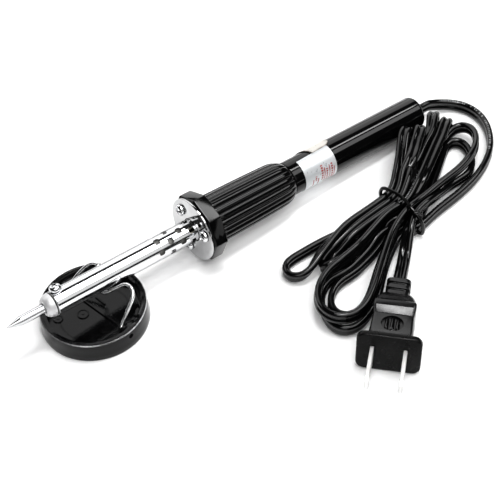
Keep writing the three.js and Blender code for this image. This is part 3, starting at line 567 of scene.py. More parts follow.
 (147.53, -23.92, 7.27, 0.723, -0.686, 0.078),
 (150.24, -21.00, 7.14, 0.751, -0.659, 0.036),
 (152.77, -17.95, 7.08, 0.785, -0.619, 0.023),
 (155.13, -14.87, 6.72, 0.791, -0.611, 0.015),
 (157.56, -12.01, 5.85, 0.700, -0.714, 0.006),
 (160.50, -9.84, 5.50, 0.467, -0.884, -0.018),
 (163.15, -8.90, 7.49, 0.309, -0.951, -0.014),
 (163.13, -8.60, 10.90, 0.270, -0.948, 0.170),
 (160.49, -9.10, 13.17, 0.427, -0.900, 0.091),
 (157.39, -11.10, 13.42, 0.624, -0.782, -0.010),
 (154.53, -13.59, 12.79, 0.679, -0.725, -0.116),
 (151.68, -16.15, 12.16, 0.670, -0.703, -0.238),
 (148.78, -18.71, 11.68, 0.641, -0.673, -0.368),
 (145.81, -21.20, 11.18, 0.596, -0.621, -0.509),
 (142.76, -23.58, 10.57, 0.536, -0.536, -0.652),
 (139.64, -25.88, 9.96, 0.458, -0.440, -0.772),
 (136.49, -28.16, 9.49, 0.355, -0.352, -0.866),
 (133.11, -30.06, 9.03, 0.227, -0.255, -0.940),
 (129.40, -31.20, 8.65, 0.103, -0.153, -0.983),
 (125.51, -31.68, 8.48, 0.028, -0.068, -0.997),
 (121.58, -31.86, 8.45, -0.001, -0.016, -1.000),
 (117.63, -32.02, 8.46, -0.004, 0.025, -1.000),
 (113.68, -32.11, 8.47, -0.003, 0.081, -0.997),
 (109.71, -32.19, 8.48, -0.009, 0.145, -0.989),
 (105.74, -32.45, 8.50, -0.022, 0.214, -0.977),
 (101.80, -33.03, 8.46, -0.031, 0.305, -0.952),
 (97.91, -33.85, 8.28, -0.041, 0.439, -0.897),
 (94.04, -34.78, 7.96, -0.069, 0.584, -0.809),
 (90.21, -35.81, 7.50, -0.088, 0.674, -0.733),
 (86.48, -37.01, 6.77, -0.043, 0.681, -0.731),
 (82.87, -38.22, 5.65, 0.099, 0.592, -0.800),
 (79.24, -39.01, 4.38, 0.246, 0.402, -0.882),
 (75.55, -38.60, 3.41, 0.270, 0.192, -0.944),
 (72.74, -36.23, 2.95, 0.202, 0.031, -0.979),
 (72.56, -32.60, 2.87, 0.102, -0.039, -0.994),
 (75.17, -29.99, 2.91, 0.034, -0.043, -0.999),
 (78.96, -29.23, 2.95, 0.007, -0.030, -1.000),
 (82.91, -29.24, 2.96, 0.000, -0.018, -1.000),
 (86.87, -29.34, 2.95, -0.001, -0.009, -1.000),
 (90.83, -29.50, 2.95, -0.001, -0.002, -1.000),
 (94.79, -29.84, 2.95, 0.001, 0.006, -1.000),
 (98.74, -30.32, 2.95, 0.002, 0.016, -1.000),
 (102.69, -30.80, 2.95, 0.004, 0.028, -1.000),
 (106.65, -31.21, 2.95, 0.004, 0.046, -0.999),
 (110.61, -31.51, 2.95, 0.001, 0.072, -0.997),
 (114.58, -31.65, 2.92, -0.007, 0.109, -0.994),
 (118.55, -31.60, 2.88, -0.013, 0.161, -0.987),
 (122.50, -31.46, 2.87, -0.000, 0.234, -0.972),
 (126.43, -31.18, 3.01, 0.021, 0.330, -0.944),
 (130.27, -30.43, 3.33, -0.066, 0.431, -0.900),
 (134.04, -29.23, 3.17, -0.311, 0.561, -0.767),
 (137.92, -28.28, 2.10, -0.271, 0.869, -0.415),
 (141.99, -27.60, 1.49, -0.167, 0.985, -0.038),
 (145.96, -26.86, 1.47, -0.215, 0.977, -0.001),
 (149.80, -25.85, 1.47, -0.298, 0.955, 0.002),
 (153.53, -24.52, 1.48, -0.367, 0.930, 0.007),
 (157.18, -22.95, 1.50, -0.423, 0.906, 0.008),
 (160.72, -21.17, 1.54, -0.472, 0.882, 0.005),
 (164.17, -19.22, 1.56, -0.505, 0.863, 0.001),
 (167.57, -17.22, 1.54, -0.490, 0.872, -0.002),
 (171.08, -15.44, 1.49, -0.393, 0.920, -0.004),
 (174.77, -14.19, 1.47, -0.258, 0.966, -0.000),
 (178.53, -13.33, 1.46, -0.226, 0.974, 0.006),
 (181.86, -12.46, 2.77, -0.320, 0.946, 0.044),
 (183.10, -12.16, 6.08, -0.439, 0.896, 0.065),
 (181.55, -13.23, 9.14, -0.510, 0.858, 0.059),
 (178.52, -15.20, 10.24, -0.547, 0.836, 0.042),
 (175.26, -17.36, 10.20, -0.547, 0.837, 0.029),
 (171.92, -19.44, 10.00, -0.507, 0.861, 0.035),
 (168.47, -21.38, 9.95, -0.483, 0.874, 0.063),
 (165.00, -23.31, 9.98, -0.487, 0.867, 0.106),
 (161.55, -25.28, 10.04, -0.488, 0.857, 0.164),
 (158.10, -27.25, 10.12, -0.476, 0.846, 0.241),
 (154.64, -29.23, 10.24, -0.458, 0.821, 0.341),
 (151.20, -31.22, 10.36, -0.436, 0.770, 0.466),
 (147.77, -33.22, 10.42, -0.397, 0.686, 0.609),
 (144.26, -35.09, 10.24, -0.352, 0.579, 0.736),
 (140.67, -36.71, 9.78, -0.319, 0.463, 0.827),
 (137.04, -38.19, 9.26, -0.234, 0.348, 0.908),
 (133.29, -39.36, 9.02, -0.050, 0.250, 0.967),
 (129.42, -39.85, 9.31, 0.109, 0.152, 0.982),
 (125.52, -39.80, 9.76, 0.067, 0.070, 0.995),
 (121.58, -39.96, 9.77, -0.047, 0.017, 0.999),
 (117.68, -40.56, 9.51, -0.059, -0.025, 0.998),
 (113.82, -41.43, 9.31, -0.032, -0.051, 0.998),
 (109.99, -42.48, 9.14, -0.031, -0.029, 0.999),
 (106.19, -43.63, 9.06, -0.006, 0.047, 0.999),
 (102.39, -44.83, 9.25, 0.043, 0.145, 0.988),
 (98.58, -45.97, 9.68, 0.042, 0.231, 0.972),
 (94.66, -46.74, 9.92, -0.035, 0.245, 0.969),
 (90.66, -47.01, 9.66, -0.105, 0.174, 0.979),
 (86.68, -47.11, 9.22, -0.097, 0.072, 0.993),
 (82.71, -47.58, 8.95, -0.040, -0.010, 0.999),
 (78.89, -48.73, 8.87, 0.017, -0.060, 0.998),
 (75.35, -50.57, 8.87, 0.060, -0.086, 0.994),
 (72.22, -53.05, 8.89, 0.093, -0.090, 0.992),
 (69.70, -56.13, 8.90, 0.117, -0.071, 0.991),
 (68.12, -59.76, 8.90, 0.130, -0.032, 0.991),
 (67.91, -63.69, 8.90, 0.126, 0.019, 0.992),
 (69.32, -67.36, 8.90, 0.103, 0.069, 0.992),
 (72.17, -70.04, 8.90, 0.064, 0.108, 0.992),
 (75.90, -71.28, 8.90, 0.017, 0.132, 0.991),
 (79.86, -71.10, 8.90, -0.026, 0.137, 0.990),
 (83.65, -69.89, 8.90, -0.053, 0.127, 0.990),
 (87.23, -68.10, 8.90, -0.061, 0.107, 0.992),
 (90.63, -66.01, 8.90, -0.054, 0.082, 0.995),
 (93.94, -63.75, 8.90, -0.043, 0.061, 0.997),
 (97.20, -61.43, 8.90, -0.033, 0.045, 0.998),
 (100.45, -59.10, 8.90, -0.024, 0.034, 0.999),
 (103.73, -56.80, 8.90, -0.018, 0.027, 0.999),
 (107.02, -54.54, 8.89, -0.014, 0.022, 1.000),
 (110.35, -52.31, 8.89, -0.012, 0.020, 1.000),
 (113.71, -50.14, 8.88, -0.011, 0.020, 1.000),
 (117.17, -48.13, 8.90, -0.025, 0.014, 1.000),
 (120.76, -46.39, 9.04, -0.070, -0.008, 0.998),
 (124.49, -45.00, 9.44, -0.112, -0.031, 0.993),
 (128.32, -43.91, 9.82, -0.022, -0.033, 0.999),
 (132.21, -42.99, 9.61, 0.126, -0.054, 0.991),
 (136.12, -42.27, 9.09, 0.127, -0.102, 0.987),
 (140.07, -41.72, 8.79, 0.057, -0.135, 0.989),
 (144.04, -41.19, 8.75, 0.017, -0.181, 0.983),
 (148.00, -40.59, 8.83, 0.013, -0.245, 0.969),
 (151.97, -40.10, 8.89, 0.025, -0.262, 0.965),
 (155.96, -39.77, 8.83, 0.047, -0.216, 0.975),
 (159.94, -39.43, 8.67, 0.055, -0.148, 0.988),
 (163.90, -38.90, 8.53, 0.039, -0.084, 0.996),
 (167.82, -38.10, 8.47, 0.014, -0.028, 0.999),
 (171.67, -37.01, 8.47, -0.007, 0.025, 1.000),
 (175.39, -35.54, 8.41, 0.006, 0.089, 0.996),
 (178.88, -33.64, 8.06, 0.056, 0.159, 0.986),
 (182.05, -31.30, 7.41, 0.070, 0.185, 0.980),
 (184.85, -28.54, 6.74, 0.035, 0.171, 0.985),
 (187.10, -25.34, 6.19, -0.008, 0.159, 0.987),
 (188.23, -21.66, 5.62, -0.048, 0.169, 0.985),
 (187.17, -18.13, 4.91, -0.088, 0.178, 0.980),
 (183.92, -16.42, 4.27, -0.104, 0.177, 0.979),
 (180.08, -16.75, 3.92, -0.100, 0.173, 0.980),
 (176.28, -17.79, 3.72, -0.092, 0.116, 0.989),
 (172.59, -19.20, 3.49, -0.087, 0.034, 0.996),
 (169.13, -21.15, 3.22, -0.061, -0.021, 0.998),
 (165.80, -23.33, 3.01, -0.018, -0.039, 0.999),
 (162.46, -25.51, 2.92, 0.011, -0.038, 0.999),
 (159.11, -27.68, 2.91, 0.027, -0.041, 0.999),
 (155.75, -29.82, 2.92, 0.035, -0.049, 0.998),
 (152.37, -31.93, 2.92, 0.038, -0.065, 0.997),
 (149.00, -34.07, 2.90, 0.042, -0.087, 0.995),
 (145.66, -36.24, 2.84, 0.057, -0.110, 0.992),
 (142.32, -38.39, 2.81, 0.072, -0.121, 0.990),
 (138.90, -40.41, 2.82, 0.074, -0.096, 0.993),
 (135.40, -42.24, 3.03, 0.128, -0.020, 0.992),
 (131.75, -43.47, 3.72, 0.227, 0.052, 0.973),
 (127.95, -42.78, 4.61, 0.162, 0.025, 0.986),
 (124.32, -40.79, 4.61, -0.178, -0.017, 0.984),
 (120.57, -40.42, 3.51, -0.229, -0.181, 0.956),
 (117.21, -42.64, 2.87, 0.132, -0.239, 0.962),
 (113.99, -45.24, 2.80, 0.167, -0.279, 0.946),
 (110.41, -46.93, 2.79, 0.088, -0.218, 0.972),
 (106.72, -48.24, 2.80, 0.067, -0.193, 0.979),
 (102.92, -49.28, 2.85, 0.068, -0.184, 0.981),
 (99.05, -50.17, 2.98, 0.066, -0.143, 0.988),
 (95.15, -50.99, 3.09, 0.034, -0.097, 0.995),
 (91.18, -51.33, 3.11, -0.007, -0.064, 0.998),
 (87.20, -51.33, 3.04, -0.017, -0.041, 0.999),
 (83.29, -51.95, 2.98, -0.005, -0.025, 1.000),
 (79.68, -53.59, 2.95, 0.004, -0.012, 1.000),
 (76.61, -56.10, 2.94, 0.005, -0.005, 1.000),
 (74.46, -59.40, 2.95, 0.004, -0.001, 1.000),
 (74.15, -63.24, 2.95, 0.001, 0.001, 1.000),
 (76.36, -66.33, 2.95, -0.000, -0.000, 1.000),
 (80.08, -67.42, 2.95, -0.000, -0.003, 1.000),
 (83.99, -66.82, 2.95, 0.002, -0.006, 1.000),
 (87.67, -65.28, 2.95, 0.005, -0.010, 1.000),
 (91.13, -63.28, 2.95, 0.010, -0.016, 1.000),
 (94.46, -61.04, 2.95, 0.017, -0.024, 1.000),
 (97.72, -58.73, 2.95, 0.026, -0.037, 0.999),
 (101.00, -56.43, 2.95, 0.038, -0.056, 0.998),
 (104.32, -54.19, 2.96, 0.053, -0.084, 0.995),
 (107.70, -52.05, 2.97, 0.073, -0.124, 0.990),
 (111.14, -50.01, 2.97, 0.102, -0.171, 0.980),
 (114.63, -48.06, 2.92, 0.121, -0.192, 0.974),
 (118.27, -46.44, 2.84, 0.072, -0.168, 0.983),
 (122.17, -45.72, 2.81, 0.004, -0.116, 0.993),
 (126.16, -45.92, 2.83, -0.008, -0.059, 0.998),
 (130.15, -46.25, 2.83, -0.000, -0.018, 1.000),
 (134.10, -45.76, 2.83, 0.008, -0.021, 1.000),
 (137.80, -44.25, 2.81, 0.032, -0.055, 0.998),
 (141.31, -42.28, 2.81, 0.054, -0.092, 0.994),
 (144.74, -40.21, 2.83, 0.058, -0.114, 0.992),
 (148.10, -38.05, 2.89, 0.049, -0.105, 0.993),
 (151.45, -35.88, 2.94, 0.041, -0.080, 0.996),
 (154.81, -33.76, 2.96, 0.035, -0.061, 0.998),
 (158.17, -31.65, 2.96, 0.031, -0.048, 0.998),
 (161.49, -29.53, 2.95, 0.029, -0.036, 0.999),
 (164.78, -27.38, 2.92, 0.029, -0.022, 0.999),
 (168.04, -25.24, 2.86, 0.018, -0.004, 1.000),
 (171.27, -23.11, 2.83, -0.011, 0.024, 1.000),
 (174.60, -21.27, 2.82, -0.018, 0.048, 0.999),
 (178.21, -21.17, 2.85, -0.002, 0.033, 0.999),
 (180.61, -23.81, 2.90, -0.006, 0.004, 1.000),
 (180.54, -27.56, 2.88, -0.015, -0.010, 1.000),
 (179.03, -31.13, 2.83, -0.016, -0.001, 1.000),
 (176.89, -34.43, 2.82, -0.005, 0.005, 1.000),
 (174.18, -37.27, 2.83, 0.017, -0.010, 1.000),
 (170.79, -39.24, 2.88, 0.038, -0.037, 0.999),
 (166.96, -40.18, 3.01, 0.056, -0.073, 0.996),
 (163.01, -40.43, 3.25, 0.076, -0.117, 0.990),
 (159.05, -40.58, 3.58, 0.110, -0.171, 0.979),
 (155.13, -41.03, 4.07, 0.189, -0.222, 0.957),
 (151.31, -41.85, 4.85, 0.300, -0.236, 0.925),
 (147.61, -42.83, 6.01, 0.366, -0.190, 0.911),
 (143.93, -43.75, 7.27, 0.303, -0.128, 0.944),
 (140.09, -44.47, 8.09, 0.153, -0.120, 0.981),
 (136.16, -45.08, 8.39, 0.072, -0.159, 0.985),
 (132.27, -45.93, 8.52, 0.102, -0.259, 0.960),
 (128.58, -47.40, 8.56, 0.188, -0.421, 0.888),
 (125.27, -49.51, 8.16, 0.255, -0.616, 0.745),
 (122.33, -51.81, 6.84, 0.280, -0.794, 0.540),
 (119.65, -53.89, 4.79, 0.369, -0.849, 0.378),
 (116.87, -56.07, 3.05, 0.524, -0.801, 0.288),
 (113.86, -58.54, 2.45, 0.623, -0.756, 0.199),
 (110.83, -61.05, 2.87, 0.649, -0.751, 0.121),
 (107.84, -63.50, 3.80, 0.645, -0.762, 0.058),
 (104.87, -65.95, 4.77, 0.640, -0.768, 0.001),
 (101.90, -68.54, 5.17, 0.673, -0.740, 0.001),
]
def cord_piece():
    T0 = np.array(CORD, float)
    P = spline(T0[:, :3], 3)
    Wd = spline(T0[:, 3:], 3)
    T = np.gradient(P, axis=0); T /= np.linalg.norm(T, axis=1)[:, None]
    Wd = Wd - (Wd * T).sum(1)[:, None] * T
    Wd /= np.linalg.norm(Wd, axis=1)[:, None]
    S = np.cross(T, Wd)
    r, h = 1.40, 1.36
    sec = []
    for sgn, a0 in ((1, -142), (-1, 38)):
        for i in range(11):
            a = math.radians(a0 + 284 * i / 10)
            sec.append((sgn * h + r * math.cos(a), r * math.sin(a)))
        sec.append((0.0, 0.80 if sgn > 0 else -0.80))
    n = len(sec)
    L = np.concatenate([[0], np.cumsum(np.linalg.norm(np.diff(P, axis=0), axis=1))])
    rings = [[tuple(P[i] + Wd[i] * a + S[i] * b) for a, b in sec] for i in range(len(P))]
    v, f = loft(rings)
    ob = make("cord", v, f, M_CORD, 60)
    me = ob.data
    al = me.attributes.new("along", "FLOAT", "POINT"); ac = me.attributes.new("across", "FLOAT", "POINT")
    N = len(me.vertices)
    al.data.foreach_set("value", np.repeat(L, n)[:N].astype(np.float32))
    ac.data.foreach_set("value", np.tile(np.arange(n) / n, len(P))[:N].astype(np.float32))
    return ob, [tuple(p * MM) for p in P], float(L[-1])
cord, cord_path, cord_len = cord_piece()

# ------------------------------------------------------------------ more geometry tools
def joinm(*ms):
    V, F = [], []
    for v, f in ms:
        k = len(V)
        V += [tuple(p) for p in v]
        F += [tuple(i + k for i in q) for q in f]
    return V, F

def moved(m, M):
    v, f = m
    return [tuple(M @ Vector(p)) for p in v], f

def zlathe(profile, n=96):
    """profile [(r, z)] round Z"""
    v, f = lathe([(z, r) for r, z in profile], n)
    return [(y, z, x) for x, y, z in v], f

def rad(a): return math.radians(a)
def RX(a): return Matrix.Rotation(rad(a), 4, "X")
def RY(a): return Matrix.Rotation(rad(a), 4, "Y")
def RZ(a): return Matrix.Rotation(rad(a), 4, "Z")
def TR(x, y, z): return Matrix.Translation((x, y, z))
def onrim(r, deg): return (r * math.cos(rad(deg)), r * math.sin(rad(deg)))

def rrect_ring(x, w, h, r, k=5, zc=0.0):
    return [(x, a, b + zc) for a, b in rounded_rect(w, h, min(r, w / 2 - 0.01, h / 2 - 0.01), k)]

def prism_x(outline, x0, x1):
    return loft([[(x0, a, b) for a, b in outline], [(x1, a, b) for a, b in outline]])

def cyl_x(x0, x1, r, n=32):
    return lathe([(x0, 0), (x0, r), (x1, r), (x1, 0)], n)

def cutter(m, matrix=None):
    return make("cutter", m[0], m[1], None, 30, matrix=matrix)

# ------------------------------------------------------------------ stand
dish_profile = [(0, 0), (21.55, 0), (21.9, 0.08), (22.12, 0.26), (22.2, 0.55), (22.0, 2.6), (21.78, 5.4), (21.58, 8.2), (21.5, 8.45), (21.34, 8.62), (21.1, 8.7),
    (20.65, 8.7), (20.5, 8.64), (20.42, 8.5), (20.36, 8.0), (20.2, 7.86), (19.1, 7.82), (18.86, 7.76), (18.74, 7.6), (18.66, 6.0), (18.52, 2.9), (18.36, 2.55), (18.0, 2.4),
    (14.6, 2.4), (14.5, 2.3), (14.2, 2.3), (14.1, 2.4), (0, 2.4)]
dish = make("stand_dish", *zlathe(dish_profile, 192), M_BASE, 28)

def crescent(a0, a1, r0, r1, z0, z1, n=40, e=0.35):
    rings = []
    for i in range(n + 1):
        t = i / n
        a = rad(a0 + (a1 - a0) * t)
        end = min(t, 1 - t) * n
        sh = 1.0 if end >= 3 else math.sqrt(max(0.0, 1 - ((3 - end) / 3) ** 2)) * 0.98 + 0.02
        rm, hw = (r0 + r1) / 2, (r1 - r0) / 2 * sh
        sec = [(rm - hw, z0), (rm - hw, z1 - e), (rm - hw + e * sh, z1), (rm + hw - e * sh, z1), (rm + hw, z1 - e), (rm + hw, z0)]
        rings.append([(r * math.cos(a), r * math.sin(a), z) for r, z in sec])
    return loft(rings)

def bar(x0, y0, x1, y1, w, z0, z1, e=0.2):
    L = math.hypot(x1 - x0, y1 - y0)
    sec = [(-w / 2, z0), (-w / 2, z1 - e), (-w / 2 + e, z1), (w / 2 - e, z1), (w / 2, z1 - e), (w / 2, z0)]
    m = loft([[(x, a, b) for a, b in sec] for x in (0, L)])
    return moved(m, TR(x0, y0, 0) @ RZ(math.degrees(math.atan2(y1 - y0, x1 - x0))))

def local(x, y):
    v = RZ(-9.3) @ Vector((x, y, 0)); return v.x, v.y

inner = [crescent(-95, -52, 17.1, 18.9, 2.2, 7.3), crescent(52, 95, 17.1, 18.9, 2.2, 7.3)]
for (x0, y0, x1, y1, w, h) in ((0.3, 7.9, 3.6, -10.5, 0.9, 0.7), (5.0, 6.7, 5.7, 1.2, 0.8, 0.6)):
    a, b = local(x0, y0), local(x1, y1)
    inner.append(bar(a[0], a[1], b[0], b[1], w, 2.2, 2.4 + h))
for (x, y, r) in ((-13.0, 7.0, 2.0), (-3.9, 2.7, 2.4), (-2.3, -8.8, 1.9), (-9.1, -9.4, 2.1)):
    lx, ly = local(x, y)
    prof = [(0, 2.2), (r, 2.2), (r, 2.78), (r - 0.12, 2.9), (r - 0.45, 2.9), (r - 0.6, 2.62), (0.55, 2.62), (0.45, 2.85), (0, 2.85)]
    inner.append(moved(zlathe(prof, 40), TR(lx, ly, 0)))
# boss by each pivot, inside the wall
for s in (-1, 1):
    inner.append(moved(lathe([(0, 0), (0, 1.9), (0.35, 2.1), (1.2, 2.1), (1.2, 0)], 28), TR(0, s * 16.9, 6.0) @ RZ(90 * s)))
cres, floor_marks = inner[:2], inner[2:]
ribs = make("stand_crescent_ribs", *joinm(*cres), M_BASE, 30)
marks = make("stand_floor_ribs", *joinm(*floor_marks), M_BASE, 30)
# pivot holes through the dish wall and the crescent ribs
cuts = []
for s in (-1, 1):
    cuts.append(cutter(moved(cyl_x(14.5, 23.8, 1.05, 28), RZ(90 * s) @ TR(0, 0, 6.0))))
dish = boolean(dish, cuts)
cuts = []
for s in (-1, 1):
    cuts.append(cutter(moved(cyl_x(14.5, 23.8, 1.05, 28), RZ(90 * s) @ TR(0, 0, 6.0))))
ribs = boolean(ribs, cuts)
for ob in (dish, ribs, marks):
    ob.data.transform(STAND)
    shade(ob, 28)
add(dish, "stand", "stand_base", slot="base_plastic")
add(ribs, "stand", slot="base_plastic")
add(marks, "stand", slot="base_plastic")

form = [[20.7, 0], [17.4, 0], [16.2, 0.25], [15.45, 1.5], [15.0, 5], [14.5, 9], [14.1, 11.8], [13.3, 14.0], [11.4, 15.6], [8.9, 15.8],
    [7.1, 14.7], [5.45, 12.8], [3.8, 10.6], [2.2, 8.5], [0.2, 7.5], [-1.8, 8.3], [-3.7, 10.5], [-5.35, 12.9], [-6.9, 14.6], [-8.6, 15.3], [-10.6, 14.5],
    [-12.3, 12.6], [-13.6, 9.6], [-14.6, 6.2], [-15.2, 3], [-15.5, 1.5], [-16.2, 0.25], [-17.4, 0], [-20.7, 0]]
b48 = rad(48)
wpts = [STAND @ Vector((u * math.sin(b48), -e, 6 + u * math.cos(b48))) for e, u in form]
ws = spline([tuple(p) for p in wpts], 8)
wr = [0.8] * len(ws)
for k, q in enumerate((0.62, 0.74, 0.79)):
    wr[k] = q; wr[-1 - k] = q
wire = make("wire_rest_bent", *tube(ws, wr, 20), M_WIRE, 50)
add(wire, "wire_rest", "wire_rest", slot="bright_steel")

# ------------------------------------------------------------------ tip, nozzle and set screw
def iron_piece(name, m, mat, angle=35.0):
    return make(name, m[0], m[1], mat, angle, matrix=IRON)

tip_prof = [(0, 0), (0.04, 0.14), (0.15, 0.27), (0.4, 0.36), (1.5, 0.72), (3.0, 1.16), (4.4, 1.53), (5.2, 1.74), (5.7, 1.88), (6.1, 1.95), (14.0, 1.95), (33.6, 1.95), (34, 1.65), (34, 0)]
tip = iron_piece("copper_bit", lathe(tip_prof, 72), M_TIP, 50)
add(tip, "tip", "tip", slot="tip_metal")

noz = lathe([(16.2, 2.25), (16.2, 3.05), (16.28, 3.3), (16.6, 3.75), (17.0, 4.1), (17.6, 4.45), (18.2, 4.68), (18.9, 4.85), (19.55, 4.94), (19.7, 4.96), (19.75, 4.5), (20.25, 4.5), (20.3, 5.0), (20.4, 4.96), (20.46, 4.85), (20.46, 4.2), (30.0, 4.2), (30.0, 2.25), (16.2, 2.25)], 112)
nozzle = iron_piece("nozzle_cap", noz, M_NOZZLE, 40)
M72 = RX(72.6) @ RZ(90)          # local +X -> outward at 72.6 degrees
nozzle = boolean(nozzle, [cutter(moved(cyl_x(0.5, 6, 1.5, 24), TR(23.0, 0, 0) @ M72), IRON)])
shade(nozzle, 40)
add(nozzle, "iron", "nozzle", slot="bright_steel")
# a near-black ring sunk in the nozzle's groove paints the groove's shade line
seam = iron_piece("nozzle_seam", lathe([(19.73, 4.4), (19.77, 4.6), (19.85, 4.68), (20.15, 4.68), (20.23, 4.6), (20.27, 4.4), (19.73, 4.4)], 96), M_GROOVE_SHADE, 40)
add(seam, "iron", slot="bright_steel")

def pan_screw(name, r, h, shank_r, shank_len, slot_w, slot_l, slot_d, turn, M, mat):
    """head along +X from x 0 to h, shank towards -X"""
    prof = [(-shank_len, 0), (-shank_len, shank_r - 0.2), (-shank_len + 0.2, shank_r), (0, shank_r), (0, r - 0.08), (0.08, r), (h * 0.35, r * 0.99), (h * 0.55, r * 0.93), (h * 0.74, r * 0.80), (h * 0.88, r * 0.58), (h * 0.97, r * 0.3), (h, 0)]
    ob = make(name, *moved(lathe(prof, 48), M), mat, 40, matrix=IRON)
    cs = []
    for t in (turn, turn + 90):
        taper = loft([[(h - slot_d, -slot_l * 0.36, -slot_w * 0.38), (h - slot_d, slot_l * 0.36, -slot_w * 0.38), (h - slot_d, slot_l * 0.36, slot_w * 0.38), (h - slot_d, -slot_l * 0.36, slot_w * 0.38)],
            [(h + 0.6, -slot_l / 2, -slot_w / 2), (h + 0.6, slot_l / 2, -slot_w / 2), (h + 0.6, slot_l / 2, slot_w / 2), (h + 0.6, -slot_l / 2, slot_w / 2)]])
        cs.append(cutter(moved(taper, M @ RX(t)), IRON))
    boolean(ob, cs)
    shade(ob, 35)
    return ob
set_screw = pan_screw("set_screw", 2.5, 2.2, 1.25, 3.1, 0.75, 3.4, 1.1, 25, TR(23.0, 0, 0) @ M72 @ TR(5.3, 0, 0), M_CHROME)
add(set_screw, "tip_screw", "tip_set_screw", slot="bright_steel")

# ------------------------------------------------------------------ barrel with vents
bar_prof = [(20.62, 4.5), (20.5, 4.6), (20.5, 4.9), (20.62, 5.0), (23.0, 5.0), (60.0, 5.0), (89.8, 5.0), (90.0, 4.9), (90.0, 4.5), (20.62, 4.5)]
barrel = iron_piece("barrel_tube", lathe(bar_prof, 144), M_BARREL, 40)
cs = [cutter(moved(cyl_x(2, 7, 1.6, 28), TR(23.0, 0, 0) @ M72), IRON)]
vent = []
for ring, t in enumerate((69.0, 74.3, 79.6, 84.6)):
    for k in range(6):
        ang = 129.6 + (0 if ring % 2 else 30) + 60 * k
        v, f = prism_x(rounded_rect(2.6, 2.6, 0.9, 5), 3.4, 6.6)
        # outward along +X before turning to its angle; local Y runs along the barrel
        vent.append(moved((v, f), TR(t, 0, 0) @ RX(ang) @ RZ(90)))
cs.append(cutter(joinm(*vent), IRON))
barrel = boolean(barrel, cs)
shade(barrel, 35)
add(barrel, "iron", "barrel", slot="bright_steel")

# heater: former, wound wire, mica, sleeved leads
core = iron_piece("heater_former", lathe([(35, 0), (35, 2.0), (35.3, 2.2), (79.7, 2.2), (80, 2.0), (80, 0)], 32), M_CERAMIC)
add(core, "iron", "heater_core", slot="ceramic_core")
hx = [(38 + 40 * i / (52 * 16), 2.78 * math.cos(2 * math.pi * i / 16), 2.78 * math.sin(2 * math.pi * i / 16)) for i in range(52 * 16 + 1)]
wind = iron_piece("heater_coil", tube(hx, 0.28, 6), M_WIND, 60)
add(wind, "iron", "heater_winding", slot="winding")
mica = iron_piece("mica_wrap", loft([[(x, r * math.cos(a), r * math.sin(a)) for r, a in [(3.86 if i < 40 else 3.54, rad(i * 9 if i < 40 else (79 - i) * 9)) for i in range(80)]] for x in (35, 45, 55, 65, 75, 82)]), M_MICA)
add(mica, "iron", "mica_sleeve", slot="mica")
for s, n in ((1, 1), (-1, 2)):
    pts = [(81 + 43 * i / 24, 2.0 * s + 0.12 * math.sin(i * 0.9 + n), 0.12 * math.cos(i * 0.7)) for i in range(25)]
    pts = [(p[0], 2.0 * s, 0) if i in (0, 24) else p for i, p in enumerate(pts)]
    sl = iron_piece(f"lead_sleeving_{n}", tube(pts, 0.88, 16), M_SLEEVE, 60)
    add(sl, "iron", f"lead_sleeve_{n}", slot="glass_sleeve")
    cr = iron_piece(f"crimped_joint_{n}", moved(lathe([(124.4, 0), (124.4, 1.25), (124.6, 1.4), (126.8, 1.4), (127.4, 1.12), (128.6, 1.12), (129.2, 1.4), (130.4, 1.4), (131.0, 1.12), (132.2, 1.12), (132.8, 1.4), (134.2, 1.4), (134.4, 1.25), (134.4, 0)], 24), TR(0, 2.0 * s, 0)), M_CRIMP, 40)
    add(cr, "iron", f"crimp_{n}", slot="foil")

# ------------------------------------------------------------------ mounting plate, screws and collar
SCREWS = (39.6, 159.6, -80.4)
plate = iron_piece("mirror_flange", lathe([(87.0, 5.25), (87.0, 13.55), (87.06, 13.75), (87.2, 13.85), (87.75, 13.85), (87.86, 13.8), (87.9, 13.68), (87.9, 5.25), (87.0, 5.25)], 160), M_MIRROR, 40)
cs = []
for a in SCREWS:
    y, z = onrim(9.5, a)
    cs.append(cutter(moved(cyl_x(86, 89, 1.6, 24), TR(0, y, z)), IRON))
plate = boolean(plate, cs); shade(plate, 40)
add(plate, "iron", "mounting_plate", slot="mirror_plate")
for i, a in enumerate(SCREWS):
    y, z = onrim(9.5, a)
    # the head faces the tip (-X)
    s = pan_screw(f"plate_screw_{'abc'[i]}", 2.5, 1.75, 1.3, 7.2, 0.8, 3.3, 1.05, 20 + 33 * i, TR(86.85, y, z) @ RZ(180), M_CHROME)
    add(s, "iron", f"plate_screw_{i + 1}", slot="bright_steel")

def oct_ring(t, R, phase, rc=0.9):
    """octagon of circumradius R with rounded corners, corner at phase + 45 k"""
    out = []
    for k in range(8):
        a = phase + 45 * k
        # corner arc centre on the corner's ray
        d = R - rc / math.cos(rad(22.5))
        for j in range(7):
            b = a - 22.5 + 45 * j / 6
            out.append((t, d * math.cos(rad(a)) + rc * math.cos(rad(b)), d * math.sin(rad(a)) + rc * math.sin(rad(b))))
    return out
PH = 132.1
st = [(88.2, 12.0), (88.2, 13.9), (88.27, 14.2), (88.5, 14.5), (88.85, 14.72), (89.2, 14.78), (94.1, 14.78), (94.35, 14.7), (94.52, 14.5), (94.6, 14.2), (94.6, 12.0), (94.6, 6.6)]
rings = [oct_ring(t, R, PH, 0.9 if R > 13 else 0.6) for t, R in st]
rings = [[(88.2, 6.6 * p[1] / math.hypot(p[1], p[2]), 6.6 * p[2] / math.hypot(p[1], p[2])) for p in rings[0]]] + rings
rings[-1] = [(94.6, 6.6 * p[1] / math.hypot(p[1], p[2]), 6.6 * p[2] / math.hypot(p[1], p[2])) for p in rings[1]]
collar = iron_piece("octagon_guard", loft(rings, closed=True), M_GUARD, 30)
cs = []
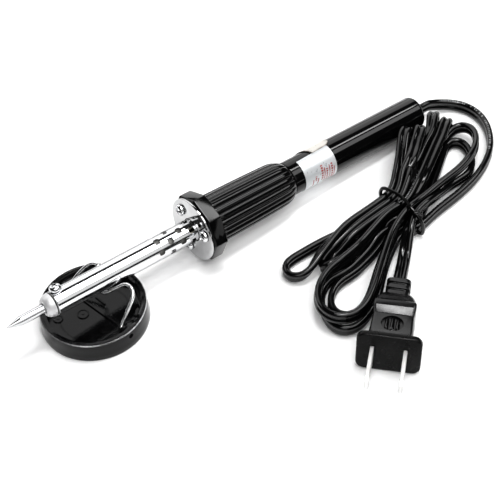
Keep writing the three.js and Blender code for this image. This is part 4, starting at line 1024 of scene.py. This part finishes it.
for a in SCREWS:
    y, z = onrim(9.5, a)
    cs.append(cutter(moved(cyl_x(87.2, 94.4, 1.55, 20), TR(0, y, z)), IRON))
collar = boolean(collar, cs); shade(collar, 30)
add(collar, "iron", "octagon_collar", slot="handle_plastic")

# ------------------------------------------------------------------ grip and rear handle
gst = [(94.9, 9.95, 0.45), (94.95, 10.25, 0.7), (95.1, 10.5, 0.8), (95.35, 10.62, 0.85), (98, 10.65, 0.85), (104, 10.57, 0.85), (112, 10.45, 0.85), (120, 10.27, 0.8), (127, 10.05, 0.75), (130.5, 9.9, 0.7), (131.8, 9.75, 0.66),
    (133.0, 9.5, 0.58), (134.1, 9.15, 0.46), (135.1, 8.72, 0.3), (135.9, 8.25, 0.14), (136.4, 7.9, 0.04), (136.6, 7.65, 0)]
NG = 20 * 16
def flute(a, d):
    k = abs(math.sin(a * 10))
    return d * (1 - k) ** 1.7
rings = [[(t, (r - flute(2 * math.pi * i / NG, d)) * math.cos(2 * math.pi * i / NG), (r - flute(2 * math.pi * i / NG, d)) * math.sin(2 * math.pi * i / NG)) for i in range(NG)] for t, r, d in gst]
def circ(t, r): return [(t, r * math.cos(2 * math.pi * i / NG), r * math.sin(2 * math.pi * i / NG)) for i in range(NG)]
rings += [circ(136.6, 6.5), circ(126, 6.5), circ(126, 6.0), circ(94.9, 6.0)]
grip = iron_piece("grip_fluted", loft(rings, closed=True), M_GRIP, 50)
add(grip, "iron", "fluted_grip", slot="handle_plastic")

hp = [(127, 5.0), (127, 6.0), (127.15, 6.15), (136.9, 6.15), (136.9, 7.2), (136.98, 7.42), (137.2, 7.56), (137.5, 7.6), (210.4, 7.6), (210.9, 7.54), (211.4, 7.36), (211.8, 7.05), (212.02, 6.65), (212.1, 6.2), (212.1, 0)]
inn = [(209.9, 0), (209.9, 5.8), (139.5, 5.8), (139.5, 5.0), (127, 5.0)]
rear = iron_piece("rear_tube", lathe(hp + inn, 160), M_BLACK, 40)
oval = rounded_rect(3.8, 6.5, 1.85, 8)
rear = boolean(rear, [cutter(prism_x(oval, 209, 213), IRON)])
shade(rear, 40)
add(rear, "iron", "rear_handle", slot="handle_plastic")

# cord's end inside the handle and the block that holds it
def twin_section(k=11):
    sec = []
    for sgn, a0 in ((1, -142), (-1, 38)):
        for i in range(k):
            a = rad(a0 + 284 * i / (k - 1))
            sec.append((sgn * 1.36 + 1.4 * math.cos(a), 1.4 * math.sin(a)))
        sec.append((0.0, 0.80 if sgn > 0 else -0.80))
    return sec
tail_rings = []
for i in range(34):
    x = 146 + (211.9 - 146) * i / 33
    tail_rings.append([(x, b, a) for a, b in twin_section()])
tail = iron_piece("cord_inner_end", loft(tail_rings), M_CORD, 60)
add(tail, "iron", "cord_tail", slot="cord_pvc")
clamp = iron_piece("cord_block", loft([rrect_ring(190, 9.0, 9.0, 2.9), rrect_ring(190.3, 9.6, 9.6, 3.2), rrect_ring(193.2, 9.6, 9.6, 3.2), rrect_ring(193.4, 9.2, 9.2, 3.0), rrect_ring(193.6, 9.2, 9.2, 3.0), rrect_ring(193.8, 9.6, 9.6, 3.2), rrect_ring(196.7, 9.6, 9.6, 3.2), rrect_ring(197, 9.0, 9.0, 2.9)]), M_CLAMP, 40)
clamp = boolean(clamp, [cutter(prism_x(rounded_rect(3.2, 5.9, 1.5, 5), 189, 198), IRON)]); shade(clamp, 40)
add(clamp, "iron", "cord_clamp", slot="clamp_plastic")

# ------------------------------------------------------------------ foil label with a lifting end
def label_material():
    m, nt, b = new_mat("label_foil")
    v = obj_coords(nt)
    def attr(n):
        a = nt.nodes.new("ShaderNodeAttribute"); a.attribute_name = n; a.attribute_type = "GEOMETRY"; return a.outputs["Fac"]
    def mth(op, a, bb=None):
        k = nt.nodes.new("ShaderNodeMath"); k.operation = op
        for i, x in enumerate((a, bb)):
            if x is None: continue
            if isinstance(x, (int, float)): k.inputs[i].default_value = x
            else: nt.links.new(x, k.inputs[i])
        return k.outputs[0]
    u, t = attr("wrap"), attr("alongt")
    mask = None
    # plain red bars and dashes: (t0, t1, angle0, angle1)
    for t0, t1, a0, a1 in ((145.7, 146.2, 176, 216), (146.9, 147.9, 168, 186), (148.4, 149.0, 178, 218), (150.4, 151.5, 140, 196), (152.0, 152.5, 152, 216), (153.1, 154.0, 158, 210), (154.8, 155.2, 150, 214), (155.9, 156.8, 148, 206), (157.3, 157.7, 162, 218)):
        k = mth("MULTIPLY", mth("MULTIPLY", mth("GREATER_THAN", t, t0), mth("LESS_THAN", t, t1)), mth("MULTIPLY", mth("GREATER_THAN", u, a0), mth("LESS_THAN", u, a1)))
        if t1 - t0 > 0.8:
            gap = mth("GREATER_THAN", mth("FRACT", mth("MULTIPLY", u, 1.0 / 9.0)), 0.30)
            k = mth("MULTIPLY", k, gap)
        mask = k if mask is None else mth("MAXIMUM", mask, k)
    n1 = noise(nt, v, 150.0, 4.0)
    base = mixc(nt, ramp(nt, n1, 0.3, 0.7, 0.0, 1.0), (0.74, 0.76, 0.78), (0.66, 0.68, 0.69))
    tail = ramp(nt, u, 385.0, 405.0, 0.0, 1.0)
    rub = mth("MULTIPLY", mth("MULTIPLY", attr("edge"), tail), ramp(nt, noise(nt, v, 700.0, 3.0), 0.35, 0.6, 0.3, 1.0))
    base = mixc(nt, tail, base, (0.64, 0.62, 0.58))
    base = mixc(nt, rub, base, (0.10, 0.07, 0.05))
    nt.links.new(mixc(nt, mth("MULTIPLY", mask, 0.95), base, (0.36, 0.03, 0.03)), b.inputs["Base Color"])
    nt.links.new(ramp(nt, mask, 0.0, 1.0, 0.30, 0.0), b.inputs["Metallic"])
    nt.links.new(ramp(nt, noise(nt, v, 500.0, 4.0), 0.3, 0.7, 0.26, 0.40), b.inputs["Roughness"])
    nt.links.new(bump(nt, noise(nt, v, 260.0, 3.0), 0.05, 0.0001), b.inputs["Normal"])
    return m
M_LABEL = label_material()
NU, NV = 120, 14
start = lambda t: 93.0 + (t - 141.7) * (87.5 - 93.0) / 17.0
def table_at(tab, x):
    for (x0, y0), (x1, y1) in zip(tab, tab[1:]):
        if x <= x1: return y0 + (y1 - y0) * max(0.0, (x - x0) / (x1 - x0))
    return tab[-1][1]
LOW = [(0, 141.8), (330, 141.8), (370, 144.2), (400, 148.0), (420, 149.2), (452, 150.8)]     # edges of the skewed tail, by angle
HIGH = [(0, 159.1), (330, 159.1), (395, 162.0), (420, 162.1), (438, 161.2), (452, 158.9)]
def label_pt(iu, iv, off):
    f = iu / NU; g = iv / NV
    s0 = start(141.8 + 17.3 * g)
    end = 360.0 + start(150.6 + 8.4 * g) + 1.6
    th = s0 + (end - s0) * f
    t0, t1 = table_at(LOW, th), table_at(HIGH, th)
    t = t0 + (t1 - t0) * g
    lift = max(0.0, (th - 380.0) / 70.0)
    r = 7.72 + off + lift * (0.24 + 0.22 * abs(2 * g - 1) ** 2) + 0.012 * math.sin(g * 9 + f * 22)
    return (t, r * math.cos(rad(th)), r * math.sin(rad(th))), th, t
V, F, U, Tt, Eg = [], [], [], [], []
for layer, off in ((0, 0.09), (1, 0.0)):
    for iu in range(NU + 1):
        for iv in range(NV + 1):
            p, th, t = label_pt(iu, iv, off)
            V.append(p); U.append(th); Tt.append(t); Eg.append(max(abs(2 * iv / NV - 1) ** 8, (iu / NU) ** 90))
K = (NU + 1) * (NV + 1)
def gi(l, iu, iv): return l * K + iu * (NV + 1) + iv
for iu in range(NU):
    for iv in range(NV):
        F.append((gi(0, iu, iv), gi(0, iu + 1, iv), gi(0, iu + 1, iv + 1), gi(0, iu, iv + 1)))
        F.append((gi(1, iu, iv), gi(1, iu, iv + 1), gi(1, iu + 1, iv + 1), gi(1, iu + 1, iv)))
for iu in range(NU):
    for iv in (0, NV):
        F.append((gi(0, iu, iv), gi(1, iu, iv), gi(1, iu + 1, iv), gi(0, iu + 1, iv)))
for iv in range(NV):
    for iu in (0, NU):
        F.append((gi(0, iu, iv), gi(0, iu, iv + 1), gi(1, iu, iv + 1), gi(1, iu, iv)))
label = iron_piece("foil_wrap", (V, F), M_LABEL, 60)
for nm, data in (("wrap", U), ("alongt", Tt), ("edge", Eg)):
    at = label.data.attributes.new(nm, "FLOAT", "POINT")
    at.data.foreach_set("value", np.array(data, np.float32))
add(label, "iron", "foil_label", slot="foil")

# ------------------------------------------------------------------ plug
def plug_piece(name, m, mat, angle=35.0):
    return make(name, m[0], m[1], mat, angle, matrix=PLUG)
def pring(x, w, zt, zb, r):
    """rounded rectangle ring, top and bottom heights measured from the axis"""
    return [(x, a, b + (zt - zb) / 2) for a, b in rounded_rect(w, zt + zb, r, 6)]
fl = [pring(0.0, 23.9, 8.65, 8.65, 2.9), pring(-0.12, 24.5, 8.95, 8.95, 3.1), pring(-0.4, 24.85, 9.12, 9.12, 3.2), pring(-0.8, 25.0, 9.2, 9.2, 3.3), pring(-1.9, 25.0, 9.2, 9.2, 3.3), pring(-2.3, 24.8, 9.1, 9.1, 3.2), pring(-2.55, 24.4, 8.9, 8.9, 3.1), pring(-2.65, 23.9, 8.65, 8.65, 2.9)]
bd = [pring(-2.0, 18.6, 7.9, 7.9, 1.6), pring(-2.9, 18.2, 7.5, 7.6, 1.6), pring(-4.2, 17.6, 6.9, 7.1, 1.5), pring(-6.5, 17.0, 6.35, 6.7, 1.4), pring(-9.5, 16.6, 6.05, 6.4, 1.3), pring(-16.3, 16.0, 5.7, 6.1, 1.2),
    pring(-16.6, 16.0, 5.75, 6.1, 1.2), pring(-19.3, 16.6, 7.15, 6.2, 1.1), pring(-19.6, 16.7, 7.25, 6.2, 1.0), pring(-22.3, 16.7, 7.2, 6.15, 1.0), pring(-22.6, 16.5, 7.0, 6.1, 1.0), pring(-24.0, 15.8, 6.5, 6.0, 1.3), pring(-26.0, 15.0, 5.9, 5.7, 1.5), pring(-28.5, 12.8, 5.1, 5.1, 1.8), pring(-29.5, 11.6, 4.5, 4.5, 2.0), pring(-29.9, 9.0, 3.6, 3.6, 1.8)]
rl = [pring(-29.0, 8.4, 3.3, 3.3, 1.6)]
for x in (-30.8, -34.4, -38.0):
    rl += [pring(x + 1.25, 8.2, 3.2, 3.2, 1.6), pring(x + 1.1, 9.5, 3.75, 3.75, 1.9), pring(x + 0.9, 9.8, 3.9, 3.9, 2.0), pring(x - 0.9, 9.8, 3.9, 3.9, 2.0), pring(x - 1.1, 9.5, 3.75, 3.75, 1.9), pring(x - 1.25, 7.9, 3.0, 3.0, 1.5)]
rl += [pring(-40.2, 7.6, 2.75, 2.75, 1.5), pring(-40.5, 7.2, 2.6, 2.6, 1.4)]
flange = plug_piece("plug_flange", loft(fl), M_FLANGE, 35)
body = plug_piece("plug_moulding", loft(bd), M_PLUG, 28)
body = boolean(body, [cutter(moved(zlathe([(0, 4.9), (4.25, 4.9), (4.6, 7.9), (0, 7.9)], 48), TR(-10.9, 0, 0)), PLUG)])
shade(body, 28)
emb = []
for y0, y1 in ((-2.95, -1.35), (-0.8, 0.8), (1.35, 2.95)):
    ym = (y0 + y1) / 2; hl = math.sqrt(max(0.1, 4.0 ** 2 - ym ** 2)) - 0.35
    emb.append(loft([[(-10.9 + f * hl, y0 + k, 4.7), (-10.9 + f * hl, y0 + k, 5.1 + q * 0.35), (-10.9 + f * hl, y0 + k + 0.3, 5.35 + q * 0.6), (-10.9 + f * hl, ym, 5.5 + q * 0.72), (-10.9 + f * hl, y1 - k - 0.3, 5.35 + q * 0.6), (-10.9 + f * hl, y1 - k, 5.1 + q * 0.35), (-10.9 + f * hl, y1 - k, 4.7)]
        for f, k, q in ((-1.0, 0.35, -0.4), (-0.92, 0.12, 0.3), (-0.7, 0.0, 0.75), (0.0, 0.0, 1.0), (0.7, 0.0, 0.75), (0.92, 0.12, 0.3), (1.0, 0.35, -0.4))]))
emb.append(moved(zlathe([(0, 4.7), (1.0, 4.7), (1.0, 5.9), (0.85, 6.0), (0, 6.0)], 24), TR(-7.9, 0, 0)))
emblem = plug_piece("plug_grip_ribs", joinm(*emb), M_BLACK, 45)
relief = plug_piece("plug_strain_relief", loft(rl), M_PLUG, 35)
relief = boolean(relief, [cutter(prism_x(rounded_rect(6.1, 3.3, 1.5, 5), -42, -38.8), PLUG)]); shade(relief, 35)
cs = []
for s in (-1, 1):
    y = s * 6.35
    cs.append(cutter(loft([rrect_ring(x, 1.9, 6.8, 0.4, 3, 0) if False else [(x, y + a, b) for a, b in rounded_rect(1.86, 6.7, 0.3, 3)] for x in (-8.4, 1.0)]), PLUG))
flange = boolean(flange, cs); shade(flange, 35)
for s, n in ((1, 1), (-1, 2)):
    y = s * 6.35
    out = [(-8.2, -3.175), (14.6, -3.175), (15.6, -2.95), (16.5, -2.4), (17.2, -1.6), (17.2, 1.6), (16.5, 2.4), (15.6, 2.95), (14.6, 3.175), (-8.2, 3.175)]
    def ringy(yy, shr): return [(x - (shr if x > 0 else 0), yy, z * (1 - shr / 3.2)) for x, z in out]
    m = loft([ringy(y - 0.75, 0.22), ringy(y - 0.52, 0), ringy(y + 0.52, 0), ringy(y + 0.75, 0.22)])
    bl = plug_piece(f"plug_blade_{'ab'[n - 1]}", m, M_BLADE, 30)
    c = cutter(moved(cyl_x(-2, 2, 1.55, 32), TR(12.8, y, 0) @ RZ(90)), PLUG)
    bl = boolean(bl, [c]); shade(bl, 30)
    add(bl, "iron", f"plug_blade_{n}", slot="blade_metal")
add(body, "iron", "plug_body", slot="plug_plastic")
for o in (flange, emblem, relief): add(o, "iron", slot="plug_plastic")

# ------------------------------------------------------------------ wire tie round the hank's waist
tie_pts = [(128.9, -28.2, 6.0), (128.3, -28.0, 9.5), (128.6, -29.3, 12.6), (129.6, -33.0, 13.4), (130.3, -38.0, 13.6), (130.0, -42.0, 13.5), (129.2, -46.0, 13.0), (129.3, -49.5, 11.6),
    (129.9, -51.9, 8.6), (130.3, -52.6, 5.2), (130.4, -51.6, 1.6), (130.3, -47.0, 0.85), (130.1, -40.0, 0.85), (129.9, -33.5, 0.85), (129.4, -29.3, 1.6)]
tl = spline(tie_pts + [tie_pts[0]], 8)[:-1]
tie_m = tube(tl, 0.78, 14, closed=True)
tw = []
for ph in (0, math.pi):
    pts = []
    for i in range(40):
        f = i / 39
        rr = 0.72 if f < 0.7 else 0.72 + (f - 0.7) * 4.2
        a = ph + f * 11.0
        pts.append((129.2 + 2.2 * f + rr * math.cos(a) * 0.7, -48.4 - 0.6 * f + rr * math.sin(a) * 0.7, 12.6 + 0.4 * f - 2.2 * f * f))
    tw.append(tube(pts, 0.62, 12))
tie = make("wire_tie", *joinm(tie_m, *tw), M_TIE, 60)
add(tie, "iron", "hank_tie", slot="tie_pvc")

add(cord, "iron", "cord_run", "cord_hank", "cord_plug_lead", slot="cord_pvc")

# ------------------------------------------------------------------ floor and light
fm, nt, b = new_mat("floor_white")
v = obj_coords(nt)
nt.links.new(mixc(nt, noise(nt, v, 3.0, 2.0), (0.93, 0.93, 0.93), (0.95, 0.95, 0.95)), b.inputs["Base Color"])
b.inputs["Roughness"].default_value = 0.9
b.inputs["Specular IOR Level"].default_value = 0.1
b.inputs["Emission Color"].default_value = (1, 1, 1, 1)
fc = nt.nodes.new("ShaderNodeTexCoord")
fl_ = nt.nodes.new("ShaderNodeVectorMath"); fl_.operation = "LENGTH"; nt.links.new(fc.outputs["Object"], fl_.inputs[0])
mr = nt.nodes.new("ShaderNodeMapRange"); mr.inputs["From Min"].default_value = 0.45; mr.inputs["From Max"].default_value = 1.5
mr.inputs["To Min"].default_value = 0.05; mr.inputs["To Max"].default_value = 0.95
nt.links.new(fl_.outputs["Value"], mr.inputs["Value"]); nt.links.new(mr.outputs["Result"], b.inputs["Emission Strength"])
me = bpy.data.meshes.new("floor")
me.from_pydata([(-4, -4, 0), (4, -4, 0), (4, 4, 0), (-4, 4, 0)], [], [(0, 1, 2, 3)])
floor = bpy.data.objects.new("floor", me); scene.collection.objects.link(floor); me.materials.append(fm)
bm_, bnt, bb = new_mat("surround_white")
bb.inputs["Base Color"].default_value = (0.0, 0.0, 0.0, 1); bb.inputs["Specular IOR Level"].default_value = 0.0
bb.inputs["Emission Color"].default_value = (1, 1, 1, 1); bb.inputs["Emission Strength"].default_value = 1.0
NW = 64; ring = [(0.08 + 3.9 * math.cos(2 * math.pi * i / NW), 3.9 * math.sin(2 * math.pi * i / NW)) for i in range(NW)]
me = bpy.data.meshes.new("surround")
me.from_pydata([(x, y, z) for z in (-0.01, 6.0) for x, y in ring], [], [(i, (i + 1) % NW, NW + (i + 1) % NW, NW + i) for i in range(NW)])
wall = bpy.data.objects.new("surround", me); scene.collection.objects.link(wall); me.materials.append(bm_)
wall.visible_glossy = False; wall.visible_diffuse = False; wall.visible_shadow = False

def area(name, loc, target, size, size_y, energy, color=(1, 1, 1)):
    l = bpy.data.lights.new(name, "AREA"); l.shape = "RECTANGLE"; l.size = size; l.size_y = size_y; l.energy = energy; l.color = color
    o = bpy.data.objects.new(name, l); scene.collection.objects.link(o)
    d = Vector(target) - Vector(loc)
    o.matrix_world = Matrix.Translation(loc) @ d.to_track_quat("-Z", "Y").to_matrix().to_4x4()
    return o
mid = (0.08, -0.03, 0.01)
def panel(name, phi0, phi1, dist, x0, x1, radiance):
    """soft box over a range of elevations seen from the iron's line; 90 is overhead, 0 behind, 180 in front"""
    p = rad((phi0 + phi1) / 2)
    h = 2 * dist * math.tan(rad((phi1 - phi0) / 2))
    loc = Vector(((x0 + x1) / 2, dist * math.cos(p), dist * math.sin(p) + 0.02))
    l = bpy.data.lights.new(name, "AREA"); l.shape = "RECTANGLE"; l.size = x1 - x0; l.size_y = h
    l.energy = radiance * math.pi * (x1 - x0) * h
    o = bpy.data.objects.new(name, l); scene.collection.objects.link(o)
    z = Vector((0, math.cos(p), math.sin(p))); xx = Vector((1, 0, 0)); yy = z.cross(xx)
    o.matrix_world = Matrix.Translation(loc) @ Matrix((xx, yy, z)).transposed().to_4x4()
    o.visible_camera = False
    return o
panel("overhead_line", 85.6, 94.6, 1.1, 0.15, 1.3, 8.5)
panel("overhead", 104, 131, 1.1, -0.7, 1.5, 2.6)
panel("back", 6, 57, 1.1, -0.6, 1.6, 1.3)
panel("front", 132, 161, 0.8, -0.5, 0.44, 0.7)
l = bpy.data.lights.new("softbox", "AREA"); l.shape = "RECTANGLE"; l.size = 0.30; l.size_y = 0.26
l.energy = 14.0 * math.pi * 0.30 * 0.26
o = bpy.data.objects.new("softbox", l); scene.collection.objects.link(o); o.location = (0.165, 0.02, 1.1); o.visible_camera = False
w = bpy.data.worlds.new("studio"); scene.world = w; w.use_nodes = True
bg = w.node_tree.nodes.get("Background")
bg.inputs["Color"].default_value = (1, 1, 1, 1); bg.inputs["Strength"].default_value = 0.035
scene.view_settings.view_transform = "Standard"
scene.view_settings.look = "Medium High Contrast"
scene.view_settings.exposure = 0.0
